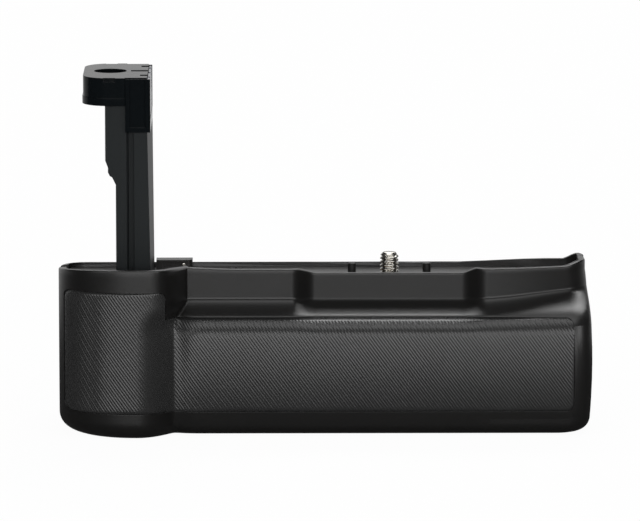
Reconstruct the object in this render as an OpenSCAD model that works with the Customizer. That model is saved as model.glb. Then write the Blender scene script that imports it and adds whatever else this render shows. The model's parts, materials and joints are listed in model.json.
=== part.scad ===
// Battery grip that screws under a wide compact cinema camera.
// Millimetres. +X runs right along the grip, +Y to the back, +Z up.
// The origin is on the camera screw's axis, at the mouth of the tripod socket in the base.

/* [Housing] */
// Room for the board and the hand column, left of the battery tray
column_room = 20.2; // [19:0.1:26]
// Reach of the housing to the right of the camera screw
reach_right = 68.2; // [67:0.1:74]
// Room between the battery tray and the front of the horizontal bar
bar_room = 6.7; // [6.5:0.1:9]
// How far the hand column stands out ahead of the bar
column_proud = 8; // [6:0.1:16]
// Front of the flange wall under the camera, ahead of the camera screw
flange_front = 18.3; // [17:0.1:22]
// How far the middle of the flange wall steps back for the lens
mid_recess = 6; // [3:0.1:7]
// Rear face, behind the camera screw
rear_face = 20; // [19.5:0.1:24]
// Wall of the moulded shells
wall = 2.6; // [2.2:0.1:2.8]
// Floor of the moulded shells
floor_t = 2.4; // [2:0.1:2.8]
// Radius along the bottom edge of the hand column and the back
base_round = 5.4; // [3:0.1:6]
// Radius along the bottom edge of the bar's front
bar_round = 3; // [2:0.1:5.4]
// Radius of the lower left corner, seen from the front
left_round = 6; // [5:0.1:10]
// Radius of the lower right corner, seen from the front
right_round = 5; // [4:0.1:7.5]
// Plane where the front and rear shells meet, behind the camera screw
split_y = 7; // [4:0.1:9]

/* [Rim] */
// Top of the deck that the camera rests on
deck_z = 49.8; // [49:0.1:53]
// Thickness of the deck plate
deck_t = 2.2; // [1.8:0.1:2.4]
// Rim at the front of the hand column
rim_column = 57.8; // [55:0.1:62]
// Rim at the front of the flange
rim_flange = 54.6; // [53.5:0.1:58]
// Rim at the stepped-back middle
rim_mid = 52.4; // [51.8:0.1:54]
// Rim along the back
rim_rear = 51; // [50.4:0.1:53]

/* [Grip skin] */
// Thickness of the ribbed rubber skin
skin_t = 1.2; // [0.8:0.1:1.4]
// How deep the skin lies below the shell around it
skin_sink = 0.15; // [0.1:0.05:0.4]
// Lower edge of the skin
skin_low = 8.1; // [6.5:0.1:10]
// Upper edge of the skin on the bar
skin_high_bar = 39.8; // [37:0.1:40]
// Upper edge of the skin on the column
skin_high_column = 50; // [46:0.1:52]

/* [Camera screw] */
// Outside radius of the 1/4 inch camera thread
thread_r = 3.175; // [3.1:0.005:3.3]
// Pitch of the camera thread
thread_pitch = 1.27; // [1:0.01:1.5]
// Height of the screw's tip above the deck
screw_rise = 7.8; // [6:0.1:9]
// Radius of the screw's plain shank
shank_r = 2.9; // [2.6:0.05:3]
// How far the thumb wheel stands out of the rear face
wheel_proud = 1.5; // [1:0.1:2]
// Thickness of the thumb wheel
wheel_t = 6; // [4:0.1:6.2]
// Radius of the locating pins beside the screw
pin_r = 1.4; // [1.2:0.05:1.8]
// Distance of each locating pin from the screw
pin_x = 12.75; // [11:0.05:15]
// Height of the locating pins above the deck
pin_rise = 4.1; // [2:0.1:5]
// Radius of the tripod socket's thread
socket_r = 2.6; // [2.5:0.05:3]
// Depth of the tripod socket
socket_depth = 5.5; // [5:0.1:5.6]

/* [Tower] */
// Height of the connector tower above the deck
tower_rise = 71; // [66:0.1:74]
// Depth of the tower's head, front to back
head_depth = 38.4; // [36:0.1:40]
// Width of the tower's head
head_w = 21.7; // [20:0.1:23]
// Thickness of the hooked part of the head
hook_t = 9.4; // [6:0.1:10]
// Width of the narrow lower stalk
stalk_w = 10.65; // [10:0.05:12]
// Radius of the round recess in the head
head_hole_r = 5.5; // [4:0.1:6]

/* [Battery tray] */
// Length of one battery
battery_l = 70.8; // [68:0.1:71]
// Width of one battery
battery_w = 38.4; // [36:0.1:44]
// Thickness of one battery
battery_t = 20.6; // [19:0.1:20.8]
// Thickness of the tray's walls
tray_wall = 1.2; // [1:0.05:1.3]
// Running clearance between the tray and its sleeve
tray_gap = 0.3; // [0.25:0.05:0.4]
// Wall of the sleeve that guides the tray
sleeve_wall = 1; // [0.8:0.05:1.1]

/* [Hidden] */
$fn = 48;
eps = 0.01;
far = 400;
// Clearance of pieces that are fitted face to face
fit_gap = 0.1;
// Radial clearance of a shaft that turns in its bore
run_gap = 0.05;
// Radial clearance of a screw thread in its pilot hole
thread_gap = 0.05;

// Battery tray and its sleeve, from the base up
tray_low = socket_depth + tray_gap + sleeve_wall + 0.3;
tray_w = battery_w + 0.4 + 2 * tray_wall;
tray_h = tray_wall + battery_t + 0.6;
tray_rear = rear_face - wall - 0.2 - sleeve_wall - tray_gap;
tray_front = tray_rear - tray_w;
tray_top = tray_low + tray_h;
bay_l = battery_l + 1;
latch_space = 5.8;
cap_x = reach_right - 6.2;
tray_right = cap_x - latch_space;
end_wall = 1.5;
mid_wall = 1.6;
bay_b_x = tray_right - end_wall - bay_l;
bay_a_x = bay_b_x - mid_wall - bay_l;
tray_left = bay_a_x - end_wall;
sleeve_left = tray_left - 1 - 1.2;
sleeve_right = cap_x + 0.6;
sleeve_low = tray_low - tray_gap - sleeve_wall;
sleeve_top = tray_top + tray_gap + sleeve_wall;

// Reach of the housing to the left and to the front of the camera screw, and the wheel behind it
reach_left = column_room - tray_left;
bar_front = bar_room - tray_front;
column_front = bar_front + column_proud;
wheel_r = rear_face + wheel_proud;

// Column: its rounded front, and the flank that runs back to the bar
nose_x = -reach_left + 26.7;
nose_depth = 26;
nose_power = 2.2;
flank_x = nose_x + 17.1;
flank_run_low = 12.6;
flank_run_high = 17;
flank_low = 2;
flank_high = 4;
flank_power = 1.4;
valley_x = nose_x + 13.2;
valley_w = 4;
valley_depth = 2.2;
valley_low = 0.4;
// Bar: where it swells most, and the roll back to the flange wall
swell_z = 24;
bar_swell = 2.2;
end_swell = 1.1;
roll_low = 34;
roll_high = 43.2;
roll_power = 2.4;
roll_soft = 0.5;
roll_lift = 1.8;
roll_dip = 0.15;
// Flange: where its wall steps back and forward again
mid_left = -25.4;
mid_right = 24.1;
step_left_run = 8.1;
step_right_run = 8.9;
right_recede = 9;
// Corners seen from above
front_corner = 7;
rear_corner_left = 8;
rear_corner_right = 6;
rear_corner_high = 12;
end_fade = 20;

function clamp01(t) = max(0, min(1, t));
function blend(t) = let (c = clamp01(t)) c * c * (3 - 2 * c);
function ramp(x, a, b) = blend((x - a) / (b - a));
function mix(a, b, t) = a + (b - a) * t;
// Sideways run of a quarter circle of radius r, at a distance d past its start
function quarter(r, d) = d <= 0 ? 0 : r - sqrt(max(0, r * r - min(d, r) * min(d, r)));
function round_in(z, r) = quarter(r, r - z);

function left_x(z) = -reach_left + round_in(z, left_round);
function right_x(z) = reach_right - end_swell * pow((z - swell_z) / swell_z, 2) - round_in(z, right_round);
function fade_left(s) = clamp01((nose_x - s) / (nose_x + reach_left));
function fade_right(s) = clamp01((s - reach_right + end_fade) / end_fade);
function station_x(s, z, inset) =
  s + (left_x(z) + reach_left + inset) * fade_left(s) - (reach_right - right_x(z) + inset) * fade_right(s);

function column_y(x, z) =
  let (u = clamp01((nose_x - x) / (nose_x - left_x(z))))
  -column_front + nose_depth * (1 - pow(max(0, 1 - pow(u, nose_power)), 1 / nose_power));
// The flange wall steps back in a round corner and comes forward again in another
function mid_step(x) = ramp(x, mid_left - step_left_run, mid_left) - ramp(x, mid_right, mid_right + step_right_run);
function flange_back(x) =
  mid_recess * mid_step(x) + right_recede * pow(clamp01((x - mid_right) / (reach_right - mid_right)), 2);
// How far the bar has rolled back to the flange wall, with a small fillet at the wall's foot
function soft_cap(v) = let (h = clamp01(0.5 + 0.5 * (1 - v) / roll_soft)) mix(1, v, h) - roll_soft * h * (1 - h);
function roll_top(x) =
  roll_high + roll_lift * ramp(x, mid_right + step_right_run - 4, reach_right - 3) - roll_dip * mid_recess * mid_step(x);
function rolled_at(x, z) = soft_cap(pow(max(0, (z - roll_low) / (roll_top(x) - roll_low)), roll_power));
function bar_y(x, z) =
  let (rolled = rolled_at(x, z))
  mix(-bar_front + bar_swell * pow((z - swell_z) / swell_z, 2), -flange_front, rolled)
  + flange_back(x) * pow(rolled, 3)
  + valley_depth * mix(valley_low, 1, clamp01((z - skin_low) / (roll_low - skin_low)))
    * exp(-pow((x - valley_x) / valley_w, 2)) * (1 - rolled);
// Share of the bar in the front surface, from the column's nose along its flank
function flank(x, z) =
  let (rolled = rolled_at(x, z), t = clamp01((x - nose_x) / mix(flank_run_low, flank_run_high, rolled)))
  1 - pow(1 - pow(t, mix(flank_low, flank_high, rolled)), flank_power);
function front_y(x, z) =
  mix(column_y(x, z), bar_y(x, z), flank(x, z))
  + quarter(front_corner, x - right_x(z) + front_corner)
  + round_in(z, mix(base_round, bar_round, ramp(x, nose_x, flank_x)));
function corner_right(z) = mix(rear_corner_right, rear_corner_high, ramp(z, roll_low, roll_high));
function rear_y(x, z) =
  rear_face - quarter(rear_corner_left, left_x(z) + rear_corner_left - x)
  - quarter(corner_right(z), x - right_x(z) + corner_right(z)) - round_in(z, base_round);

// Height of the rim: high round the hand column, low behind, with a horn at the right end
rim_slope = (rim_column - rim_rear) / (column_front + rear_face);
horn_front = 1.4;
horn_rear = 4.1;
function front_rim(x, y) =
  let (column_part = rim_column - rim_slope * (y + column_front))
  mix(column_part, rim_flange, ramp(x, flank_x - 6, flank_x + 18))
  + (rim_mid - rim_flange) * (ramp(x, mid_left - 7.4, mid_left + 0.7) - ramp(x, mid_right + 0.5, mid_right + 6))
  + horn_front * ramp(x, reach_right - 9, reach_right - 2);
function rear_rim(x) =
  rim_rear + 1.2 * ramp(x, reach_right - 50, reach_right - 10)
  + (horn_rear - 1.2) * ramp(x, reach_right - 9, reach_right - 2.5);
function rim_z(x, y) = mix(front_rim(x, y), rear_rim(x), ramp(y, -12, 14));

// Stations along the grip, close together where the outline turns
function span(a, b, count) = [for (i = [0:count - 1]) a + (b - a) * i / count];
function end_span(a, b, count) = [for (i = [0:count - 1]) a + (b - a) * (1 - cos(90 * i / count))];
stations = concat(
  end_span(-reach_left, nose_x, 9),
  span(nose_x, flank_x + 2, 14),
  span(flank_x + 2, mid_left - step_left_run, 3),
  span(mid_left - step_left_run, mid_left, 5),
  span(mid_left, mid_right, 4),
  span(mid_right, mid_right + step_right_run, 5),
  span(mid_right + step_right_run, reach_right - front_corner, 4),
  [for (i = [0:7]) reach_right - front_corner + front_corner * sin(90 * i / 7)]
);
coarse = [for (i = [0:2:len(stations) - 1]) stations[i], stations[len(stations) - 1]];
levels = [0, 0.4, 1.3, 2.8, 5.4, 8.2, 12, 18, 24, 30, 34, 36.5, 38.5, 40.3, 41.8, 43, 44, 45, 46.2, 47.8];
inner_levels = [floor_t, 4, 6, 12, 24, 32, 36, 39, 41.5, 43.5, 45, 46.4, 47.8];

// Where the front runs back at a slant, an inset is deeper by this factor, so the wall keeps its thickness
slant_limit = 2.2;
function slant(x, z) =
  let (h = 0.2, fx = (front_y(x + h, z) - front_y(x - h, z)) / (2 * h),
       fz = (front_y(x, z + h) - front_y(x, z - h)) / (2 * h))
  min(slant_limit, sqrt(1 + fx * fx + fz * fz));
function ring(list, z, inset) = concat(
  [for (s = list) let (x = station_x(s, z, inset)) [x, front_y(x, z) + inset * slant(x, z), z]],
  [for (k = [len(list) - 1:-1:0]) let (x = station_x(list[k], z, inset)) [x, rear_y(x, z) - inset, z]]
);
rim_plan_z = 53;
function rim_ring(list) = [for (p = ring(list, rim_plan_z, 0)) [p[0], p[1], rim_z(p[0], p[1])]];
function outline(z, inset) = [for (p = ring(coarse, z, inset)) [p[0], p[1]]];

// A closed solid through a stack of rings, each of them a front row and a rear row
module loft(rings) {
  m = len(rings[0]);
  n = m / 2;
  top = len(rings) - 1;
  sides = [for (j = [0:top - 1], i = [0:m - 1])
    let (a = j * m + i, b = j * m + (i + 1) % m, c = b + m, d = a + m)
    each [[a, d, c], [a, c, b]]];
  ends = [for (i = [0:n - 2])
    let (f = i, g = i + 1, r = m - 1 - i, q = m - 2 - i, t = top * m)
    each [[f, g, q], [f, q, r], [t + f, t + q, t + g], [t + f, t + r, t + q]]];
  polyhedron(points = [for (r = rings) each r], faces = concat(sides, ends));
}

// The whole outside of the housing, as one solid
module body_outside() {
  loft(concat([for (z = levels) ring(stations, z, 0)], [rim_ring(stations)]));
}

module body_inside() {
  high = [for (p = ring(coarse, inner_levels[len(inner_levels) - 1], wall)) [p[0], p[1], rim_column + 10]];
  loft(concat([for (z = inner_levels) ring(coarse, z, wall)], [high]));
}

// Ribbed skin: a patch of the front surface, set in along the surface's own normal
notch_x = nose_x + 10;
notch_run = 1;
skin_left = -reach_left + 2.1;
skin_right = reach_right - 6.3;
skin_rows = 8;
skin_stations = concat(
  end_span(skin_left, nose_x, 6),
  span(nose_x, notch_x - notch_run, 4),
  span(notch_x - notch_run, notch_x + notch_run, 3),
  span(notch_x + notch_run, flank_x + 4, 6),
  span(flank_x + 4, skin_right - 3, 5),
  [skin_right - 3, skin_right - 0.6, skin_right]
);
function skin_top(x) = mix(skin_high_column, skin_high_bar, ramp(x, notch_x - notch_run, notch_x + notch_run));
function skin_base(x) = skin_low + 0.7 * ramp(x, flank_x, nose_x);
function inward(x, z) =
  let (h = 0.2, fx = (front_y(x + h, z) - front_y(x - h, z)) / (2 * h),
       fz = (front_y(x, z + h) - front_y(x, z - h)) / (2 * h), v = [-fx, 1, -fz])
  v / norm(v);
function on_front(x, z, depth) = [x, front_y(x, z), z] + depth * inward(x, z);
// One layer of the patch: margin widens it, depth sets it into the surface
function skin_layer(margin, depth) =
  [for (i = [0:len(skin_stations) - 1]) let (s = skin_stations[i],
      x = s + (i == 0 ? -margin : i == len(skin_stations) - 1 ? margin : 0))
    [for (j = [0:skin_rows]) let (z = mix(skin_base(x) - margin, skin_top(x) + margin, j / skin_rows))
      on_front(x, z, depth)]];

module skin_patch(margin, outer, inner) {
  rows = skin_rows + 1;
  cols = len(skin_stations);
  n = rows * cols;
  a = [for (c = skin_layer(margin, outer)) each c];
  b = [for (c = skin_layer(margin, inner)) each c];
  faces_out = [for (i = [0:cols - 2], j = [0:rows - 2])
    let (p = i * rows + j, q = p + rows) each [[p, p + 1, q + 1], [p, q + 1, q]]];
  faces_in = [for (f = faces_out) [f[0] + n, f[2] + n, f[1] + n]];
  border = concat(
    [for (i = [0:cols - 1]) i * rows],
    [for (j = [1:rows - 1]) (cols - 1) * rows + j],
    [for (i = [cols - 2:-1:0]) i * rows + rows - 1],
    [for (j = [rows - 2:-1:1]) j]
  );
  k = len(border);
  edges = [for (i = [0:k - 1]) let (p = border[i], q = border[(i + 1) % k])
    each [[p, q, q + n], [p, q + n, p + n]]];
  polyhedron(points = concat(a, b), faces = concat(faces_out, faces_in, edges));
}

module front_grip_skin() {
  color("#3c3c3c") skin_patch(0, skin_sink, skin_sink + skin_t);
}

// Camera screw stack, from the sleeve's roof up to the deck
clip_t = 0.6;
shank_low = sleeve_top + 0.4;
clip_z = shank_low + 0.3;
wheel_z = clip_z + clip_t + 0.04;
collar_z = wheel_z + wheel_t + 0.05;
collar_t = 1.1;
collar_r = 6;
bracket_z = collar_z + collar_t + run_gap;
bracket_t = 2;
hub_r = 8;
bush_r = 4.8;
bush_flange_r = 7;
bush_flange_t = 1.5;
pin_root_r = pin_r + 0.5;
knurls = 60;
knurl_r = 0.55;

// Fasteners
screw_r = 1.2;
head_r = 2.3;
head_t = 1.6;
boss_r = 3.2;
// Screws that pull the rear shell on to the front shell, as [x, z]
housing_spots = [[-reach_left + 9, 39], [flank_x + 6, 37.5], [40, 37.5], [reach_right - 13, 37.5]];
// Screws that hold the deck, as [x, y]
deck_front_y = -flange_front + wall + 4.5;
deck_rear_y = rear_face - wall - 2.8;
deck_spots = [[flank_x + 16, deck_front_y], [36, deck_front_y], [flank_x + 16, deck_rear_y], [44, deck_rear_y]];
// Screws that hold the bracket under the deck, as [x, y]
bracket_x = 26;
bracket_front = 4.5;
bracket_rear = 11.5;
bracket_spots = [for (x = [-bracket_x, bracket_x], y = [-bracket_front, bracket_rear]) [x, y]];
base_x = 24;
base_y = 14;
base_t = 1.6;
base_boss_top = sleeve_low - 0.5;
base_spots = [for (x = [-base_x + 4, base_x - 4], y = [-base_y + 3.8, base_y - 3.8]) [x, y]];

// A pan-head screw that points down from z = 0, with a cross recess in its head
module pan_screw(length) {
  difference() {
    union() {
      cylinder(r = head_r, h = head_t);
      translate([0, 0, -length]) cylinder(r = screw_r, h = length + eps);
    }
    translate([0, 0, head_t]) {
      cube([2.4, 0.6, 1.2], center = true);
      cube([0.6, 2.4, 1.2], center = true);
    }
  }
}

// A box between two corners
module block(low, high) {
  translate(low) cube(high - low);
}

module shell_solid() {
  ledge_t = 2.2;
  difference() {
    body_outside();
    body_inside();
  }
  translate([0, 0, deck_z - deck_t - ledge_t]) linear_extrude(ledge_t) difference() {
    polygon(outline(deck_z, wall - 0.6));
    polygon(outline(deck_z, wall + 2));
    for (p = bracket_spots) translate(p) circle(r = boss_r + 0.3);
  }
  for (p = deck_spots) intersection() {
    translate([p[0], p[1], deck_z - deck_t - 8]) cylinder(r = boss_r, h = 8);
    translate([0, 0, deck_z - deck_t - 9]) linear_extrude(9) polygon(outline(deck_z, wall - 0.6));
  }
  for (p = base_spots) translate([p[0], p[1], floor_t - 0.5])
    cylinder(r = boss_r - 0.2, h = base_boss_top - floor_t + 0.5);
}

// Everything that is cut out of both shells
module shell_cuts() {
  mouth = tray_gap + 0.1;
  block([cap_x - 0.5, tray_front - mouth, tray_low - mouth],
    [reach_right + 5, tray_rear + mouth, tray_top + mouth]);
  block([-base_x - fit_gap, -base_y - fit_gap, -1], [base_x + fit_gap, base_y + fit_gap, base_t + fit_gap]);
  translate([0, 0, -1]) cylinder(r = socket_body_r + fit_gap, h = floor_t + 2);
  for (p = base_spots) translate([p[0], p[1], -1]) cylinder(r = screw_r + thread_gap, h = base_boss_top + 2);
  for (p = deck_spots) translate([p[0], p[1], deck_z - deck_t - 7]) cylinder(r = screw_r + thread_gap, h = 8);
}

module front_shell() {
  color("#242424") difference() {
    union() {
      difference() {
        shell_solid();
        block([-far, split_y, -far], [far, far, far]);
      }
      intersection() {
        for (p = housing_spots) translate([p[0], split_y, p[1]]) rotate([90, 0, 0]) cylinder(r = boss_r, h = far);
        body_outside();
      }
    }
    skin_patch(0.12, -1, skin_sink + skin_t + 0.05);
    shell_cuts();
    for (p = housing_spots) translate([p[0], split_y + 1, p[1]]) rotate([90, 0, 0])
      cylinder(r = screw_r + thread_gap, h = 10);
  }
}

module rear_shell() {
  slot_x = sqrt(wheel_r * wheel_r - pow(rear_face - wall, 2)) + 0.9;
  color("#232323") difference() {
    union() {
      difference() {
        shell_solid();
        block([-far, -far, -far], [far, split_y + fit_gap, far]);
      }
      for (p = housing_spots) translate([p[0], rear_face - wall + 0.5, p[1]]) rotate([90, 0, 0])
        cylinder(r = boss_r, h = rear_face - wall + 0.5 - split_y - fit_gap);
    }
    shell_cuts();
    block([-slot_x, rear_face - wall - 1, wheel_z - 0.6], [slot_x, far, wheel_z + wheel_t + 0.6]);
    for (p = housing_spots) translate([p[0], rear_face + 1, p[1]]) rotate([90, 0, 0]) {
      cylinder(r = screw_r + 0.2, h = rear_face);
      cylinder(r = head_r + 0.3, h = head_t + 1.6);
    }
  }
}

module housing_screws() {
  color("#3a3a3a") for (p = housing_spots)
    translate([p[0], rear_face - head_t - 0.55, p[1]]) rotate([-90, 0, 0]) pan_screw(rear_face - split_y + 5);
}

tower_y = -6;
stalk_depth = head_depth - 2.4;
stalk_front = tower_y - stalk_depth / 2;
stalk_rear = tower_y + stalk_depth / 2;
tower_right = nose_x + 3.7;
tower_mid = tower_right - 6.4;
stalk_left = tower_right - stalk_w;
upper_left = stalk_left - 3.5;
head_left = tower_right - head_w;
tower_top = deck_z + tower_rise;
hook_low = tower_top - hook_t;
clip_left = tower_right - 7.4;
clip_drop = 9;
groove_w = 2.4;
groove_x = tower_mid + 0.7;
side_draft = 1.1;
side_flare = 1.1;
side_flare_low = 1.6;
groove_t = 1.5;
step_z = tower_top - 36.3;
foot_t = 2.6;
foot_z = deck_z - deck_t - foot_t;
foot_edge = 6.9;
foot_front = tower_y - 8;
foot_spots = [for (x = [stalk_left - 4, tower_right + 4], y = [tower_y - 5, tower_y + 14]) [x, y]];

module deck_plate() {
  window = 0.3;
  boss_low = bracket_z + bracket_t;
  color("#6a6a68") difference() {
    union() {
      translate([0, 0, deck_z - deck_t]) linear_extrude(deck_t) polygon(outline(deck_z, wall + 0.15));
      for (p = bracket_spots) translate([p[0], p[1], boss_low])
        cylinder(r = boss_r - 0.2, h = deck_z - boss_low - eps);
    }
    block([stalk_left - window, stalk_front - window, deck_z - 9],
      [tower_right + side_flare_low + window, stalk_rear + window, deck_z + 1]);
    translate([0, 0, deck_z - 9]) cylinder(r = bush_r + fit_gap, h = 10);
    for (x = [-pin_x, pin_x]) translate([x, 0, deck_z - deck_t - 1])
      cylinder(r = pin_root_r + thread_gap, h = deck_t + 2);
    for (p = bracket_spots) translate([p[0], p[1], boss_low - 1]) cylinder(r = screw_r + thread_gap, h = 5);
    for (p = deck_spots) translate([p[0], p[1], deck_z]) {
      translate([0, 0, -deck_t - 1]) cylinder(r = screw_r + 0.2, h = deck_t + 2);
      translate([0, 0, -head_t]) cylinder(r = head_r + 0.2, h = head_t + 1);
    }
    for (p = foot_spots) translate([p[0], p[1], deck_z - deck_t - 1]) cylinder(r = screw_r + thread_gap, h = 2.6);
  }
}

module deck_screws() {
  color("#303030") for (p = deck_spots) translate([p[0], p[1], deck_z - head_t]) pan_screw(deck_t - head_t + 6);
}

// The stalk's two front and rear grooves
module stalk_grooves() {
  for (y = [stalk_front, stalk_rear])
    block([groove_x - groove_w / 2, y - groove_t, deck_z - 20], [groove_x + groove_w / 2, y + groove_t, hook_low]);
}

module tower_left_half() {
  profile = [
    [tower_mid - fit_gap, deck_z - deck_t], [stalk_left, deck_z - deck_t], [stalk_left, step_z],
    [stalk_left - 1.2, step_z + 2.5], [stalk_left - 2, step_z + 3], [stalk_left - 2.6, step_z + 4.2],
    [stalk_left - 2.6, step_z + 5.8], [stalk_left - 3.2, step_z + 7.4], [upper_left, step_z + 8.2],
    [upper_left, hook_low], [tower_mid - fit_gap, hook_low]
  ];
  color("#262a2a") difference() {
    translate([0, stalk_rear, 0]) rotate([90, 0, 0]) linear_extrude(stalk_depth) polygon(profile);
    stalk_grooves();
    for (z = tower_screw_z) translate([tower_mid, tower_y + 8, z]) rotate([0, -90, 0]) {
      translate([0, 0, -1]) cylinder(r = screw_r + 0.2, h = 30);
      translate([0, 0, tower_screw_grip]) cylinder(r = head_r + 0.2, h = 30);
    }
  }
}
tower_screw_z = [deck_z + 14, deck_z + 50];
tower_screw_grip = 2.2;

// Right side of the stalk below the clip: it flares to the back and has a draft to the base
module stalk_side() {
  low = foot_z;
  high = hook_low - clip_drop - fit_gap;
  inner = tower_right - 1;
  points = [
    [inner, stalk_front, low], [tower_right + side_draft, stalk_front, low],
    [tower_right + side_flare_low, stalk_rear, low], [inner, stalk_rear, low],
    [inner, stalk_front, high], [tower_right, stalk_front, high],
    [tower_right + side_flare, stalk_rear, high], [inner, stalk_rear, high]
  ];
  polyhedron(points = points, faces = [
    [0, 1, 2], [0, 2, 3], [4, 6, 5], [4, 7, 6], [0, 5, 1], [0, 4, 5],
    [1, 6, 2], [1, 5, 6], [2, 7, 3], [2, 6, 7], [3, 4, 0], [3, 7, 4]
  ]);
}

module tower_right_half() {
  color("#242828") difference() {
    union() {
      block([tower_mid, stalk_front, foot_z], [tower_right, stalk_rear, hook_low]);
      stalk_side();
      block([stalk_left - foot_edge, foot_front, foot_z], [tower_right + foot_edge, stalk_rear, deck_z - deck_t]);
    }
    stalk_grooves();
    block([tower_mid - 1, tower_y - 6, foot_z - 1], [tower_mid + 3, tower_y + 4, hook_low + 1]);
    for (z = tower_screw_z) translate([tower_mid + 4.4, tower_y + 8, z]) rotate([0, -90, 0])
      cylinder(r = screw_r + thread_gap, h = 8);
    for (p = foot_spots) translate([p[0], p[1], foot_z - 1]) cylinder(r = screw_r + 0.2, h = foot_t + 2);
  }
}

module tower_screws() {
  color("#4a4a4a") {
    for (z = tower_screw_z) translate([tower_mid - tower_screw_grip, tower_y + 8, z]) rotate([0, -90, 0]) pan_screw(5.6);
    for (p = foot_spots) translate([p[0], p[1], foot_z]) rotate([180, 0, 0]) pan_screw(foot_t + 1.4);
  }
}

// Plan of the head's left part, with two round corners; proud widens it all round
module hook_plan(proud) {
  corner = 9;
  half = head_depth / 2;
  round_x = head_left + corner;
  translate([0, tower_y]) {
    translate([round_x, -half - proud]) square([clip_left - round_x, head_depth + 2 * proud]);
    translate([head_left - proud, -half + corner]) square([corner + proud + eps, head_depth - 2 * corner]);
    for (y = [-half + corner, half - corner]) translate([round_x, y]) circle(r = corner + proud);
  }
}

slot_pitch = 11.5;
slot_w = 3;
slot_depth = 6;
slot_long = 5.7;
slot_short = 2.4;
contact_ys = [for (k = [-1:1]) tower_y + k * slot_pitch];
head_hole_x = head_left + 9;
// The middle slot is longer than the two beside it
function slot_run(y) = y == tower_y ? slot_long : slot_short;
// Slots in the head where the camera's three blades come down
module contact_slots() {
  for (y = contact_ys)
    block([tower_right - slot_run(y), y - slot_w / 2, tower_top - slot_depth],
      [tower_right + 9, y + slot_w / 2, tower_top + 1]);
}

module tower_head() {
  notch_w = 3.8;
  notch_t = 1;
  lip_t = 2.6;
  lip_proud = 0.25;
  color("#15181a") difference() {
    union() {
      translate([0, 0, hook_low]) linear_extrude(hook_t) hook_plan(0);
      translate([0, 0, hook_low]) linear_extrude(lip_t) hook_plan(lip_proud);
      block([clip_left - 1, stalk_front, hook_low], [tower_right, stalk_rear, tower_top]);
    }
    translate([head_hole_x, tower_y, tower_top - 6]) cylinder(r = head_hole_r, h = 7);
    for (y = [tower_y - head_depth / 2, tower_y + head_depth / 2])
      block([head_hole_x - notch_w / 2, y - notch_t, tower_top - 1.4], [head_hole_x + notch_w / 2, y + notch_t, tower_top + 1]);
    contact_slots();
  }
}

// Glossy skirt that clips round the right side of the head and stalk
module contact_clip() {
  clip_t_y = (head_depth - stalk_depth) / 2;
  low = hook_low - clip_drop;
  color("#0c1012") difference() {
    union() {
      for (y = [stalk_front - clip_t_y, stalk_rear + fit_gap])
        block([clip_left + fit_gap, y, low], [tower_right + fit_gap + 1, y + clip_t_y - fit_gap, tower_top - 0.4]);
      block([tower_right + fit_gap, stalk_front - clip_t_y, low], [tower_right + fit_gap + 1, stalk_rear + clip_t_y, low + 4]);
    }
    block([clip_left + 1.6, stalk_front - far, low + 1.7], [tower_right - 0.6, stalk_front - clip_t_y + 0.4, tower_top]);
  }
}

// Thin light plate that closes the side of the contact slots
module contact_cover() {
  low = hook_low - clip_drop + 4 + fit_gap;
  color("#8a8c90") difference() {
    block([tower_right + fit_gap, stalk_front + fit_gap, low], [tower_right + fit_gap + 0.8, stalk_rear - fit_gap, tower_top - 0.6]);
    contact_slots();
  }
}

module tower_contacts() {
  color("#c9a64a") for (y = contact_ys)
    block([tower_right - slot_run(y), y - 0.4, tower_top - slot_depth], [tower_right - 0.6, y + 0.4, tower_top - 1.5]);
}

// Flat flexible conductor from the board up through the tower to the contacts
flex_z = sleeve_top + 5;
flex_t = 0.3;
module flex_strip() {
  x = tower_mid + 1.2;
  low_x = board_x + 2.9 + 1.6;
  path = [[low_x, flex_z], [x + flex_t, flex_z], [x + flex_t, hook_low - fit_gap], [x, hook_low - fit_gap],
    [x, flex_z + flex_t], [low_x, flex_z + flex_t]];
  color("#a8702a") translate([0, tower_y + 3, 0]) rotate([90, 0, 0]) linear_extrude(8) polygon(path);
}

// Raised block beside the tower where the camera's own battery door is parked
block_left = tower_right + 2.2;
block_right = flank_x + 1.2;
block_front = 10.5;
block_rear = rear_face - wall - 1.6;
block_top = deck_z + 3.4;
block_round = 2;
module door_stow_block() {
  color("#2b2d2e") difference() {
    union() {
      block([block_left, block_front, deck_z], [block_right - block_round, block_rear, block_top]);
      block([block_left, block_front + block_round, deck_z], [block_right, block_rear, block_top]);
      translate([block_right - block_round, block_front + block_round, deck_z])
        cylinder(r = block_round, h = block_top - deck_z);
    }
    block([block_left + 2, block_front - 1, deck_z + 0.8], [block_right - 2.4, block_front + 0.8, block_top - 0.8]);
    translate([block_right - 3, block_front + 4, block_top - 1.7]) rotate([90, 0, 0])
      cylinder(r = door_pin_r + thread_gap, h = 6);
  }
}
door_pin_r = 0.6;
module door_stow_pin() {
  color("#b8b8b4") translate([block_right - 3, block_front + 4, block_top - 1.7]) rotate([90, 0, 0])
    cylinder(r = door_pin_r, h = 3.9);
}

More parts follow.
